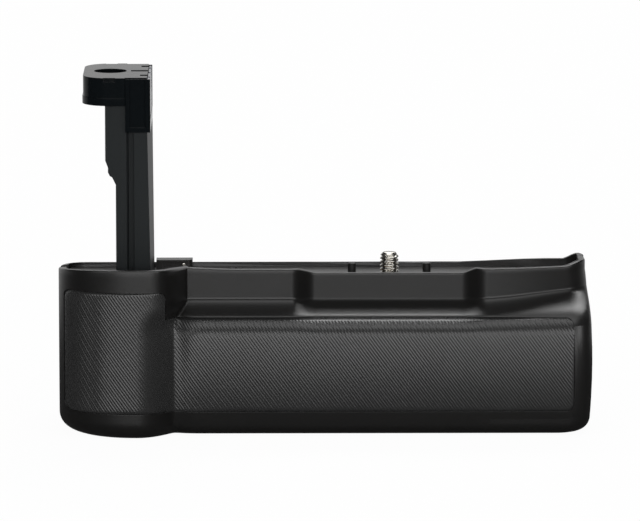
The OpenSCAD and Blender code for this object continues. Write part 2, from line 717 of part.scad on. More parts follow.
// Camera screw: ridges that stand for the thread, a plain shank and a thrust collar
thread_z = deck_z + 0.4;
thread_top = deck_z + screw_rise;
thread_root = thread_r - 0.65;
thread_turns = floor((thread_top - thread_z - 0.8) / thread_pitch);
module mount_screw() {
  crest = thread_pitch * 0.16;
  flank = thread_pitch * 0.36;
  profile = concat(
    [[0, shank_low], [shank_r, shank_low], [shank_r, clip_z], [shank_r - 0.7, clip_z], [shank_r - 0.7, clip_z + clip_t + 0.04],
      [shank_r, clip_z + clip_t + 0.04], [shank_r, collar_z], [collar_r, collar_z], [collar_r, collar_z + collar_t],
      [shank_r, collar_z + collar_t], [shank_r, thread_z - 0.3], [thread_root, thread_z]],
    [for (k = [0:thread_turns - 1]) let (z = thread_z + 0.2 + k * thread_pitch)
      each [[thread_root, z], [thread_r, z + flank], [thread_r, z + flank + crest], [thread_root, z + 2 * flank + crest]]],
    [[thread_root, thread_top - 0.4], [thread_root - 0.4, thread_top], [0, thread_top]]
  );
  color("#c8c8c4") difference() {
    rotate_extrude() polygon(profile);
    translate([0, 0, wheel_z + wheel_t / 2]) rotate([0, 90, 0]) cylinder(r = drive_pin_r, h = 40, center = true);
  }
}
drive_pin_r = 0.9;

module thumb_wheel() {
  rim_w = 4;
  dish = 1.4;
  color("#1f1f1f") difference() {
    translate([0, 0, wheel_z]) cylinder(r = wheel_r, h = wheel_t);
    translate([0, 0, wheel_z - 1]) cylinder(r = shank_r + thread_gap, h = wheel_t + 2);
    for (z = [wheel_z - 1, wheel_z + wheel_t - dish]) translate([0, 0, z]) difference() {
      cylinder(r = wheel_r - rim_w, h = dish + 1);
      translate([0, 0, -1]) cylinder(r = hub_r, h = dish + 3);
    }
    for (k = [0:knurls - 1]) rotate([0, 0, k * 360 / knurls]) translate([wheel_r + 0.15, 0, wheel_z - 1])
      cylinder(r = knurl_r, h = wheel_t + 2);
    translate([0, 0, wheel_z + wheel_t / 2]) rotate([0, 90, 0])
      cylinder(r = drive_pin_r + thread_gap, h = 2 * hub_r + 1, center = true);
  }
}

module drive_pin() {
  color("#b0b0ac") translate([0, 0, wheel_z + wheel_t / 2]) rotate([0, 90, 0])
    cylinder(r = drive_pin_r, h = 2 * hub_r - 0.4, center = true);
}

// Open retaining ring in the groove under the wheel
module wheel_clip() {
  color("#8e8e8a") translate([0, 0, clip_z + 0.02]) difference() {
    cylinder(r = shank_r + 2.6, h = clip_t);
    translate([0, 0, -1]) cylinder(r = shank_r - 0.7 + thread_gap, h = clip_t + 2);
    block([0, -1.6, -1], [10, 1.6, clip_t + 1]);
  }
}

module screw_bush() {
  color("#b9973f") difference() {
    union() {
      translate([0, 0, bracket_z]) cylinder(r = bush_r, h = deck_z - bracket_z);
      translate([0, 0, bracket_z + bracket_t]) cylinder(r = bush_flange_r, h = bush_flange_t);
    }
    translate([0, 0, bracket_z - 1]) cylinder(r = shank_r + run_gap, h = deck_z);
  }
}

module mount_bracket() {
  edge = 4;
  color("#9a9c9e") difference() {
    block([-bracket_x - edge, -bracket_front - edge, bracket_z], [bracket_x + edge, bracket_rear + edge, bracket_z + bracket_t]);
    translate([0, 0, bracket_z - 1]) cylinder(r = bush_r + thread_gap, h = bracket_t + 2);
    for (p = bracket_spots) translate([p[0], p[1], bracket_z - 1]) cylinder(r = screw_r + 0.2, h = bracket_t + 2);
  }
}

module bracket_screws() {
  color("#4a4a4a") for (p = bracket_spots) translate([p[0], p[1], bracket_z]) rotate([180, 0, 0]) pan_screw(bracket_t + 3.4);
}

module locating_pins() {
  color("#1a1a1a") for (x = [-pin_x, pin_x]) translate([x, 0, deck_z]) {
    translate([0, 0, -deck_t]) cylinder(r = pin_root_r, h = deck_t);
    cylinder(r = pin_r, h = pin_rise);
  }
}

// Sleeve: a rectangular tunnel on feet, closed at its left end
latch_y = (tray_front + tray_rear) / 2;
latch_z = tray_low + 11;
tongue_reach = sleeve_top - 0.2 - latch_z;
window_front = latch_y - 8;
window_rear = latch_y + 8;
window_low = tray_low + 4;
window_high = tray_low + 17;
board_x = sleeve_left - 1.2 - 1.6;
board_spots = [for (y = [window_front - 5, window_rear + 5]) [y, tray_low + 10]];
module tray_sleeve() {
  gap = tray_gap + sleeve_wall;
  color("#333436") difference() {
    union() {
      block([sleeve_left, tray_front - gap, sleeve_low], [sleeve_right, tray_rear + gap, sleeve_top]);
      for (x = [sleeve_left + 12, -48, 34, sleeve_right - 8])
        block([x, tray_front + 3, floor_t + fit_gap], [x + 3, tray_rear - 3, sleeve_low + eps]);
      for (p = board_spots) translate([sleeve_left + eps, p[0], p[1]]) rotate([0, -90, 0]) cylinder(r = boss_r, h = 1.2 + eps);
    }
    block([sleeve_left + 1.2, tray_front - tray_gap, tray_low - tray_gap], [far, tray_rear + tray_gap, tray_top + tray_gap]);
    block([sleeve_left - 1, window_front, window_low], [sleeve_left + 2, window_rear, window_high]);
    block([tongue_x - 0.4, latch_y - 3.4, tray_top], [tongue_x + tongue_t + 0.4, latch_y + 6.6, far]);
    for (p = board_spots) translate([sleeve_left - 2, p[0], p[1]]) rotate([0, 90, 0]) cylinder(r = screw_r + thread_gap, h = 4);
  }
}

// End plate of the tray that carries the cap, and the tongue that turns behind it
plate_t = 1.6;
tongue_t = 2;
tongue_w = 5;
tongue_x = cap_x - plate_t - 0.4 - tongue_t;
cap_spots = [for (y = [-17, 17], z = [-6, 6]) [latch_y + y, latch_z + z]];
module battery_tray() {
  notch_l = 24;
  inside_front = tray_front + tray_wall;
  inside_rear = tray_rear - tray_wall;
  color("#2a2a2c") difference() {
    block([tray_left, tray_front, tray_low], [cap_x, tray_rear, tray_top]);
    for (x = [bay_a_x, bay_b_x]) {
      block([x, inside_front, tray_low + tray_wall], [x + bay_l, inside_rear, tray_top + 1]);
      block([x + bay_l / 2 - notch_l / 2, tray_front - 1, tray_low + 10], [x + bay_l / 2 + notch_l / 2, tray_rear + 1, tray_top + 1]);
      block([x - end_wall - 1, latch_y - 9, tray_low + 5], [x + eps, latch_y + 9, tray_low + 15]);
    }
    block([tray_right, inside_front, tray_low - 1], [cap_x - plate_t, inside_rear, tray_top + 1]);
    translate([cap_x - 5, latch_y, latch_z]) rotate([0, 90, 0]) cylinder(r = key_shaft_r + 0.4, h = 10);
    for (p = cap_spots) translate([cap_x - 5, p[0], p[1]]) rotate([0, 90, 0]) cylinder(r = screw_r + 0.2, h = 10);
  }
}

contact_spots = [for (k = [-1:1]) latch_y + 5.5 * k];
module bay_contact_blocks() {
  color("#101010") for (x = [bay_a_x, bay_b_x]) difference() {
    block([x - end_wall + 0.05, latch_y - 9 + fit_gap, tray_low + 5 + fit_gap], [x, latch_y + 9 - fit_gap, tray_low + 15 - fit_gap]);
    for (y = contact_spots) block([x - 5, y - 1 - thread_gap, tray_low + 8], [x + 1, y + 1 + thread_gap, tray_low + 12]);
  }
}

module bay_contacts() {
  color("#c9a64a") for (x = [bay_a_x, bay_b_x], y = contact_spots)
    block([x - end_wall + 0.2, y - 1, tray_low + 8], [x + 0.5, y + 1, tray_low + 12]);
}

module tray_pads() {
  color("#c9a64a") for (y = contact_spots) block([tray_left - 0.3, y - 1.8, tray_low + 6.5], [tray_left + 0.05, y + 1.8, tray_low + 13.5]);
}

// The tray's end cap is a slice of the housing's own end
key_r = 8;
module tray_end_cap() {
  color("#232323") difference() {
    intersection() {
      body_outside();
      block([cap_x, tray_front, tray_low], [reach_right + 5, tray_rear, tray_top]);
    }
    for (p = cap_spots) translate([cap_x - 1, p[0], p[1]]) rotate([0, 90, 0]) cylinder(r = screw_r + thread_gap, h = 4);
    translate([cap_x - 1, latch_y, latch_z]) rotate([0, 90, 0]) cylinder(r = key_shaft_r + run_gap, h = 20);
    translate([key_x - 0.3, latch_y, latch_z]) rotate([0, 90, 0]) cylinder(r = key_r + 0.4, h = 20);
  }
}
key_shaft_r = 2.5;
key_x = reach_right - 3.4;

// Round turn key with a finger bar, let into the end cap
module latch_key() {
  bar = 2.2;
  color("#191919") translate([0, latch_y, latch_z]) rotate([0, 90, 0]) difference() {
    union() {
      translate([0, 0, key_x]) cylinder(r = key_r, h = 1.2);
      translate([0, 0, tongue_x]) cylinder(r = key_shaft_r, h = key_x - tongue_x + eps);
      translate([-bar / 2, -key_r + 0.8, key_x + 1.2 - eps]) cube([bar, 2 * key_r - 1.6, 1.6]);
    }
    translate([0, 0, tongue_x - 1]) cylinder(r = screw_r + thread_gap, h = 6);
  }
}

// Tongue on the key's shaft: level while the tray is free, upright when it is locked
module latch_tongue() {
  color("#a8a8a4") translate([tongue_x, latch_y, latch_z]) rotate([0, 90, 0]) {
    difference() {
      union() {
        translate([-tongue_w / 2, 0, 0]) cube([tongue_w, tongue_reach, tongue_t]);
        cylinder(r = tongue_w / 2 + 1.4, h = tongue_t);
      }
      translate([0, 0, -1]) cylinder(r = key_shaft_r + thread_gap, h = tongue_t + 2);
    }
  }
}

module latch_screw() {
  color("#4a4a4a") translate([tongue_x - fit_gap, latch_y, latch_z]) rotate([0, -90, 0]) pan_screw(4.5);
}

module cap_screws() {
  color("#4a4a4a") for (p = cap_spots) translate([cap_x - plate_t, p[0], p[1]]) rotate([0, -90, 0]) pan_screw(plate_t + 2.4);
}

module main_board() {
  color("#1f4a2c") difference() {
    block([board_x, tray_front + 2, tray_low], [board_x + 1.6, tray_rear - 2, flex_z + 6]);
    for (p = board_spots) translate([board_x - 1, p[0], p[1]]) rotate([0, 90, 0]) cylinder(r = screw_r + 0.2, h = 4);
  }
}

module board_parts() {
  color("#151515") {
    block([board_x - 1.4, latch_y - 8, tray_low + 14], [board_x, latch_y + 2, tray_low + 24]);
    block([board_x - 2.2, latch_y + 5, tray_low + 15], [board_x, latch_y + 10, tray_low + 20]);
    block([board_x - 3, latch_y - 6, tray_low + 3], [board_x, latch_y + 6, tray_low + 9]);
    block([board_x + 1.6, tower_y - 6, flex_z - 1.4], [board_x + 4.5, tower_y + 4, flex_z + 2]);
  }
}

module board_screws() {
  color("#8a8a86") for (p = board_spots) translate([board_x, p[0], p[1]]) rotate([0, -90, 0]) pan_screw(3.6);
}

module spring_contact_block() {
  color("#101010") difference() {
    block([board_x + 1.6, window_front + 0.4, window_low + 0.4], [sleeve_left + 1, window_rear - 0.4, window_high - 0.4]);
    for (y = contact_spots) translate([board_x, y, tray_low + 10]) rotate([0, 90, 0]) cylinder(r = 0.8 + thread_gap, h = 20);
  }
}

module spring_contacts() {
  color("#c9a64a") for (y = contact_spots) translate([board_x + 1.6, y, tray_low + 10]) rotate([0, 90, 0])
    cylinder(r = 0.8, h = tray_left - 0.35 - board_x - 1.6);
}

socket_body_r = 5.5;
module base_plate() {
  color("#3c3c3c") difference() {
    block([-base_x, -base_y, 0], [base_x, base_y, base_t]);
    translate([0, 0, -1]) cylinder(r = socket_body_r + thread_gap, h = base_t + 2);
    for (p = base_spots) translate([p[0], p[1], -1]) {
      cylinder(r = screw_r + 0.2, h = base_t + 2);
      cylinder(r = head_r + 0.2, h = 1 + base_head_t);
    }
  }
}
base_head_t = 1.1;

module tripod_socket() {
  color("#a9a9a4") difference() {
    union() {
      cylinder(r = socket_body_r, h = socket_depth);
      translate([0, 0, floor_t + 0.05]) cylinder(r = socket_body_r + 2.5, h = 1.6);
    }
    translate([0, 0, -1]) cylinder(r = socket_r, h = socket_depth + 2);
  }
}

module base_screws() {
  color("#303030") for (p = base_spots) translate([p[0], p[1], 0]) difference() {
    union() {
      translate([0, 0, 0.1]) cylinder(r = head_r, h = base_head_t - 0.1);
      translate([0, 0, 0.1]) cylinder(r = screw_r, h = base_boss_top - 0.6);
    }
    cube([2.4, 0.6, 1.2], center = true);
    cube([0.6, 2.4, 1.2], center = true);
  }
}

front_shell();
rear_shell();
deck_plate();
front_grip_skin();
tower_left_half();
tower_right_half();
tower_head();
contact_clip();
contact_cover();
tower_contacts();
flex_strip();
tower_screws();
door_stow_block();
door_stow_pin();
mount_screw();
thumb_wheel();
drive_pin();
wheel_clip();
screw_bush();
mount_bracket();
bracket_screws();
locating_pins();
deck_screws();
housing_screws();
tray_sleeve();
battery_tray();
bay_contact_blocks();
bay_contacts();
tray_pads();
tray_end_cap();
cap_screws();
latch_key();
latch_tongue();
latch_screw();
main_board();
board_parts();
board_screws();
spring_contact_block();
spring_contacts();
base_plate();
tripod_socket();
base_screws();
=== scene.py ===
"""Looks of a camera battery grip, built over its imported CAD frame.

Sizes in the classes are millimetres; Blender's own units are metres.
"""

import json
import logging
import math
from dataclasses import dataclass, field
from enum import Enum
from typing import Any, Callable, Sequence

import bmesh
import bpy
import numpy as np
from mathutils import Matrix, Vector


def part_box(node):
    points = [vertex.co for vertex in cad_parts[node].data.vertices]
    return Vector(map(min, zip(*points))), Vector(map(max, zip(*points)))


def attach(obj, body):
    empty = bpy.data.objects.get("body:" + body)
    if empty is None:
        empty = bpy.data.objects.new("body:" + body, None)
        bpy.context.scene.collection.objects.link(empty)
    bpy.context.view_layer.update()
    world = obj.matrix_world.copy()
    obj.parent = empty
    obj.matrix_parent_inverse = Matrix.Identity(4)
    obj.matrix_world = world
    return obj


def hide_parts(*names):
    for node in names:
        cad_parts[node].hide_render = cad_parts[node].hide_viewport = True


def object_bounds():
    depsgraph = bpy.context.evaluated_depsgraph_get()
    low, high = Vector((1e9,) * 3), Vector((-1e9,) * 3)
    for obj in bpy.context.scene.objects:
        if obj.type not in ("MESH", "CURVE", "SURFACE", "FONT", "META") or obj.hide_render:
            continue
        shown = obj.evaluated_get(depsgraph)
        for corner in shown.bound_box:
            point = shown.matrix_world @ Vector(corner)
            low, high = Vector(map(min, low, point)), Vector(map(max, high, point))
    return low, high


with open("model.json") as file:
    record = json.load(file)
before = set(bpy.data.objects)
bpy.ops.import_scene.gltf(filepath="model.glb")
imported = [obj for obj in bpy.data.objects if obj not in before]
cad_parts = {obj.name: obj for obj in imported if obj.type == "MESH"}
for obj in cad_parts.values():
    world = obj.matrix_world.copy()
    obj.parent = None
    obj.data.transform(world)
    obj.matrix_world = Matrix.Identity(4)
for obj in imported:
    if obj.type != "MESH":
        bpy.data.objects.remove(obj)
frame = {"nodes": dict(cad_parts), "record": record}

LOG = logging.getLogger("battery_grip")
MM = 0.001
IMAGE_SIZE = (640, 521)
HOUSING = "housing"
SCREW_WHEEL = "screw_wheel"

Array = np.ndarray
CAD_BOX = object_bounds()


def ramp(value: Any, start: float, end: float) -> Array:
    """Smooth step from 0 at start to 1 at end.

    Args:
        value: Number or array to step.
        start: Where the step leaves 0.
        end: Where the step reaches 1.

    Returns:
        The step's height, between 0 and 1.
    """
    t = np.clip((np.asarray(value, float) - start) / (end - start), 0.0, 1.0)
    return t * t * (3.0 - 2.0 * t)


def quarter(radius: Any, run: Any) -> Array:
    """Fall of a quarter circle after a run past its tangent point.

    Args:
        radius: Radius of the circle.
        run: Distance past the tangent point; below 0 there is no fall.

    Returns:
        The fall, from 0 to the radius.
    """
    radius = np.asarray(radius, float)
    run = np.clip(run, 0.0, radius)
    return radius - np.sqrt(np.maximum(0.0, radius * radius - run * run))


def mix(first: Any, second: Any, share: Any) -> Array:
    """Value between two others.

    Args:
        first: Value at share 0.
        second: Value at share 1.
        share: Share of the second value.

    Returns:
        The mixed value.
    """
    return np.asarray(first) + (np.asarray(second) - np.asarray(first)) * np.asarray(share)


def ease_ends(start: float, end: float, count: int) -> Array:
    """Stations from start towards end, closest together at start.

    Args:
        start: First station.
        end: Value after the last station.
        count: Number of stations.

    Returns:
        The stations, without the end.
    """
    return start + (end - start) * (1.0 - np.cos(np.linspace(0.0, math.pi / 2, count + 1)[:-1]))


class Grid:
    """A rectangular net of points that becomes a mesh."""

    def __init__(self, points: Array) -> None:
        """Keeps the net.

        Args:
            points: Array of columns by rows by 3, in millimetres.
        """
        self.points = points

    def mesh(self, name: str, keep: Array | None = None, weld: float = 1e-6) -> bpy.types.Object:
        """Makes a smooth mesh object from the net.

        Args:
            name: Name of the object.
            keep: Which quads are kept, as columns - 1 by rows - 1; all of them if left out.
            weld: Distance in metres below which points are joined.

        Returns:
            The linked object.
        """
        columns, rows = self.points.shape[:2]
        index = np.arange(columns * rows).reshape(columns, rows)
        quads = np.stack([index[:-1, :-1], index[1:, :-1], index[1:, 1:], index[:-1, 1:]], axis=-1)
        chosen = quads.reshape(-1, 4) if keep is None else quads[keep]
        data = bpy.data.meshes.new(name)
        data.from_pydata((self.points.reshape(-1, 3) * MM).tolist(), [], chosen.tolist())
        shape = bmesh.new()
        shape.from_mesh(data)
        bmesh.ops.remove_doubles(shape, verts=shape.verts, dist=weld)
        bmesh.ops.dissolve_degenerate(shape, edges=shape.edges, dist=weld)
        shape.to_mesh(data)
        shape.free()
        return link(name, data)


def link(name: str, data: bpy.types.Mesh) -> bpy.types.Object:
    """Puts a mesh into the scene with smooth faces.

    Args:
        name: Name of the object.
        data: Mesh to show.

    Returns:
        The new object.
    """
    data.polygons.foreach_set("use_smooth", [True] * len(data.polygons))
    data.validate()
    made = bpy.data.objects.new(name, data)
    bpy.context.scene.collection.objects.link(made)
    return made


@dataclass(frozen=True)
class HousingForm:
    """Outline of the housing as formulas, in millimetres, with the values that the solids have too."""

    reach_left: float
    reach_right: float
    bar_front: float = 32.0
    column_front: float = 40.0
    flange_front: float = 18.3
    mid_recess: float = 6.0
    rear_face: float = 20.0
    wall: float = 2.6
    base_round: float = 5.4
    bar_round: float = 3.0
    left_round: float = 6.0
    right_round: float = 5.0
    split_y: float = 7.0
    deck_z: float = 49.8
    rim_column: float = 57.8
    rim_flange: float = 54.6
    rim_mid: float = 52.4
    rim_rear: float = 51.0
    nose_run: float = 26.7
    nose_depth: float = 26.0
    nose_power: float = 2.2
    rim_run: float = 17.1
    flank_run_low: float = 12.6
    flank_run_high: float = 17.0
    flank_low: float = 2.0
    flank_high: float = 4.0
    flank_power: float = 1.4
    valley_run: float = 13.2
    valley_w: float = 4.0
    valley_depth: float = 2.2
    valley_low: float = 0.4
    valley_foot: float = 8.1
    swell_z: float = 24.0
    bar_swell: float = 2.2
    end_swell: float = 1.1
    roll_low: float = 34.0
    roll_high: float = 43.2
    roll_power: float = 2.4
    roll_soft: float = 0.5
    roll_lift: float = 1.8
    roll_dip: float = 0.15
    shoulder_z: float = 51.0
    rim_plan_z: float = 53.0
    inner_z: float = 47.8
    mid_left: float = -25.4
    mid_right: float = 24.1
    step_left_run: float = 8.1
    step_right_run: float = 8.9
    right_recede: float = 9.0
    front_corner: float = 7.0
    end_fade: float = 20.0
    horn_front: float = 1.4
    horn_rear: float = 4.1
    rear_rise: float = 1.2
    rim_fall: tuple[float, float] = (-6.0, 18.0)
    mid_rim_left: tuple[float, float] = (-7.4, 0.7)
    mid_rim_right: tuple[float, float] = (0.5, 6.0)
    rear_run: tuple[float, float] = (50.0, 10.0)
    horn_run: tuple[float, float] = (9.0, 2.0)
    horn_rear_run: tuple[float, float] = (9.0, 2.5)
    rim_turn: tuple[float, float] = (-12.0, 14.0)
    roll_lift_run: tuple[float, float] = (-4.0, 3.0)
    probe: float = 0.2
    steepest: float = 2.2

    @classmethod
    def from_frame(cls) -> "HousingForm":
        """Reads the housing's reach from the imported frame.

        Returns:
            The form.
        """
        low, high = CAD_BOX
        return cls(reach_left=-low[0] / MM, reach_right=high[0] / MM)

    @property
    def nose_x(self) -> float:
        """Where the hand column stands furthest forward."""
        return -self.reach_left + self.nose_run

    @property
    def flank_x(self) -> float:
        """Where the rim has come down from the column to the flange."""
        return self.nose_x + self.rim_run

    def left_x(self, z: Any) -> Array:
        """Left end of the housing at a height."""
        return -self.reach_left + quarter(self.left_round, self.left_round - np.asarray(z, float))

    def right_x(self, z: Any) -> Array:
        """Right end of the housing at a height."""
        z = np.asarray(z, float)
        swell = self.end_swell * ((z - self.swell_z) / self.swell_z) ** 2
        return self.reach_right - swell - quarter(self.right_round, self.right_round - z)

    def station_x(self, s: Any, z: Any, inset: float = 0.0) -> Array:
        """Place of a station at a height, moved in with the rounded ends.

        Args:
            s: Station along the grip, where the housing is widest.
            z: Height.
            inset: How far inside the outline.

        Returns:
            The station's x.
        """
        s = np.asarray(s, float)
        left = np.clip((self.nose_x - s) / (self.nose_x + self.reach_left), 0.0, 1.0)
        right = np.clip((s - self.reach_right + self.end_fade) / self.end_fade, 0.0, 1.0)
        move_left = self.left_x(z) + self.reach_left + inset
        move_right = self.reach_right - self.right_x(z) + inset
        return s + move_left * left - move_right * right

    def column_y(self, x: Any, z: Any) -> Array:
        """Front of the hand column.

        Args:
            x: Place along the grip.
            z: Height.

        Returns:
            The y of the surface.
        """
        u = np.clip((self.nose_x - x) / (self.nose_x - self.left_x(z)), 0.0, 1.0)
        bend = np.maximum(0.0, 1.0 - u**self.nose_power) ** (1.0 / self.nose_power)
        return -self.column_front + self.nose_depth * (1.0 - bend)

    def mid_step(self, x: Any) -> Array:
        """How far the flange wall has stepped back, from 0 to 1."""
        stepped = ramp(x, self.mid_left - self.step_left_run, self.mid_left)
        return stepped - ramp(x, self.mid_right, self.mid_right + self.step_right_run)

    def flange_back(self, x: Any) -> Array:
        """How far back the flange wall lies along the grip."""
        run = np.clip((np.asarray(x, float) - self.mid_right) / (self.reach_right - self.mid_right), 0.0, 1.0)
        return self.mid_recess * self.mid_step(x) + self.right_recede * run**2

    def rolled(self, x: Any, z: Any) -> Array:
        """How far the bar has rolled back to the flange wall, with a fillet at the wall's foot.

        Args:
            x: Place along the grip.
            z: Height.

        Returns:
            The share, from 0 on the bar's face to 1 at the wall.
        """
        start, end = self.roll_lift_run
        lift = ramp(x, self.mid_right + self.step_right_run + start, self.reach_right - end)
        top = self.roll_high + self.roll_lift * lift
        top = top - self.roll_dip * self.mid_recess * self.mid_step(x)
        height = (np.asarray(z, float) - self.roll_low) / (top - self.roll_low)
        rise = np.maximum(0.0, height) ** self.roll_power
        share = np.clip(0.5 + 0.5 * (1.0 - rise) / self.roll_soft, 0.0, 1.0)
        return mix(1.0, rise, share) - self.roll_soft * share * (1.0 - share)

    def bar_y(self, x: Any, z: Any) -> Array:
        """Front of the bar, its shelf and the flange wall above it.

        Args:
            x: Place along the grip.
            z: Height.

        Returns:
            The y of the surface.
        """
        x, z = np.asarray(x, float), np.asarray(z, float)
        rolled = self.rolled(x, z)
        face = -self.bar_front + self.bar_swell * ((z - self.swell_z) / self.swell_z) ** 2
        up = np.clip((z - self.valley_foot) / (self.roll_low - self.valley_foot), 0.0, 1.0)
        across = np.exp(-(((x - self.nose_x - self.valley_run) / self.valley_w) ** 2))
        valley = self.valley_depth * mix(self.valley_low, 1.0, up) * across
        front = mix(face, -self.flange_front, rolled)
        return front + self.flange_back(x) * rolled**3 + valley * (1.0 - rolled)

    def flank(self, x: Any, z: Any) -> Array:
        """Share of the bar in the front surface, from the column's nose along its flank.

        Args:
            x: Place along the grip.
            z: Height.

        Returns:
            The share, from 0 at the nose to 1 past the flank.
        """
        rolled = self.rolled(x, z)
        run = mix(self.flank_run_low, self.flank_run_high, rolled)
        t = np.clip((np.asarray(x, float) - self.nose_x) / run, 0.0, 1.0)
        return 1.0 - (1.0 - t ** mix(self.flank_low, self.flank_high, rolled)) ** self.flank_power

    def front_y(self, x: Any, z: Any) -> Array:
        """Front surface of the housing.

        Args:
            x: Place along the grip.
            z: Height.

        Returns:
            The y of the surface.
        """
        x, z = np.asarray(x, float), np.asarray(z, float)
        front = mix(self.column_y(x, z), self.bar_y(x, z), self.flank(x, z))
        corner = quarter(self.front_corner, x - self.right_x(z) + self.front_corner)
        radius = mix(self.base_round, self.bar_round, ramp(x, self.nose_x, self.flank_x))
        return front + corner + quarter(radius, radius - z)

    def rim_z(self, x: Any, y: Any) -> Array:
        """Height of the rim above a point of the outline.

        Args:
            x: Place along the grip.
            y: Place from front to back.

        Returns:
            The rim's height.
        """
        x, y = np.asarray(x, float), np.asarray(y, float)

        def from_right(run: tuple[float, float]) -> Array:
            """Smooth step between two distances from the right end."""
            return ramp(x, self.reach_right - run[0], self.reach_right - run[1])

        slope = (self.rim_column - self.rim_rear) / (self.column_front + self.rear_face)
        column = self.rim_column - slope * (y + self.column_front)
        fall = ramp(x, *(self.flank_x + run for run in self.rim_fall))
        front = mix(column, self.rim_flange, fall)
        middle = ramp(x, *(self.mid_left + run for run in self.mid_rim_left))
        middle = middle - ramp(x, *(self.mid_right + run for run in self.mid_rim_right))
        front = front + (self.rim_mid - self.rim_flange) * middle
        front = front + self.horn_front * from_right(self.horn_run)
        rear = self.rim_rear + self.rear_rise * from_right(self.rear_run)
        rear = rear + (self.horn_rear - self.rear_rise) * from_right(self.horn_rear_run)
        return mix(front, rear, ramp(y, *self.rim_turn))

    def falls(self, x: Any, z: Any) -> tuple[Array, Array]:
        """Slopes of the front surface.

        Args:
            x: Place along the grip.
            z: Height.

        Returns:
            The slope along x and the slope along z.
        """
        step = self.probe
        fall_x = (self.front_y(x + step, z) - self.front_y(x - step, z)) / (2 * step)
        fall_z = (self.front_y(x, z + step) - self.front_y(x, z - step)) / (2 * step)
        return fall_x, fall_z

    def slant(self, x: Any, z: Any) -> Array:
        """How much deeper an inset is where the front runs back at a slant."""
        fall_x, fall_z = self.falls(x, z)
        return np.minimum(self.steepest, np.sqrt(1.0 + fall_x * fall_x + fall_z * fall_z))

    def inward(self, x: Any, z: Any) -> Array:
        """Unit vectors into the front surface.

        Args:
            x: Place along the grip.
            z: Height.

        Returns:
            One vector for each point.
        """
        x, z = np.broadcast_arrays(np.asarray(x, float), np.asarray(z, float))
        fall_x, fall_z = self.falls(x, z)
        vector = np.stack([-fall_x, np.ones_like(x), -fall_z], axis=-1)
        return vector / np.linalg.norm(vector, axis=-1, keepdims=True)

    def on_front(self, x: Any, z: Any, depth: Any) -> Array:
        """Points of the front surface, set in by a depth along its normal.

        Args:
            x: Place along the grip.
            z: Height.
            depth: How far in.

        Returns:
            The points.
        """
        x, z = np.broadcast_arrays(np.asarray(x, float), np.asarray(z, float))
        base = np.stack([x, self.front_y(x, z), z], axis=-1)
        return base + np.asarray(depth)[..., None] * self.inward(x, z)


@dataclass(frozen=True)
class SkinOutline:
    """Outline of the ribbed skin on the front of the housing, in millimetres."""

    form: HousingForm
    low: float = 8.1
    high_bar: float = 39.8
    high_column: float = 50.0
    column_lift: float = 0.7
    corner: float = 2.6
    left_margin: float = 2.1
    right_margin: float = 6.3
    notch_run: float = 10.0

    @property
    def left(self) -> float:
        """Left edge."""
        return -self.form.reach_left + self.left_margin

    @property
    def right(self) -> float:
        """Right edge."""
        return self.form.reach_right - self.right_margin

    @property
    def notch(self) -> float:
        """Where the skin steps down from the column to the bar."""
        return self.form.nose_x + self.notch_run

    def base(self, x: Any) -> Array:
        """Lower edge, with its rounded ends.

        Args:
            x: Place along the grip.

        Returns:
            The edge's height.
        """
        x = np.asarray(x, float)
        edge = self.low + self.column_lift * (1.0 - ramp(x, self.form.nose_x, self.form.flank_x))
        edge = edge + quarter(self.corner, self.left + self.corner - x)
        return edge + quarter(self.corner, x - self.right + self.corner)

    def top_column(self, x: Any) -> Array:
        """Upper edge on the hand column, with its rounded ends.

        Args:
            x: Place along the grip.

        Returns:
            The edge's height.
        """
        x = np.asarray(x, float)
        edge = self.high_column - quarter(self.corner, self.left + self.corner - x)
        return edge - quarter(self.corner, x - self.notch + self.corner)

    def top_bar(self, x: Any) -> Array:
        """Upper edge on the bar, with its rounded right end."""
        return self.high_bar - quarter(self.corner, np.asarray(x, float) - self.right + self.corner)

    def top(self, x: Any) -> Array:
        """Upper edge anywhere."""
        return np.where(np.asarray(x) < self.notch, self.top_column(x), self.top_bar(x))


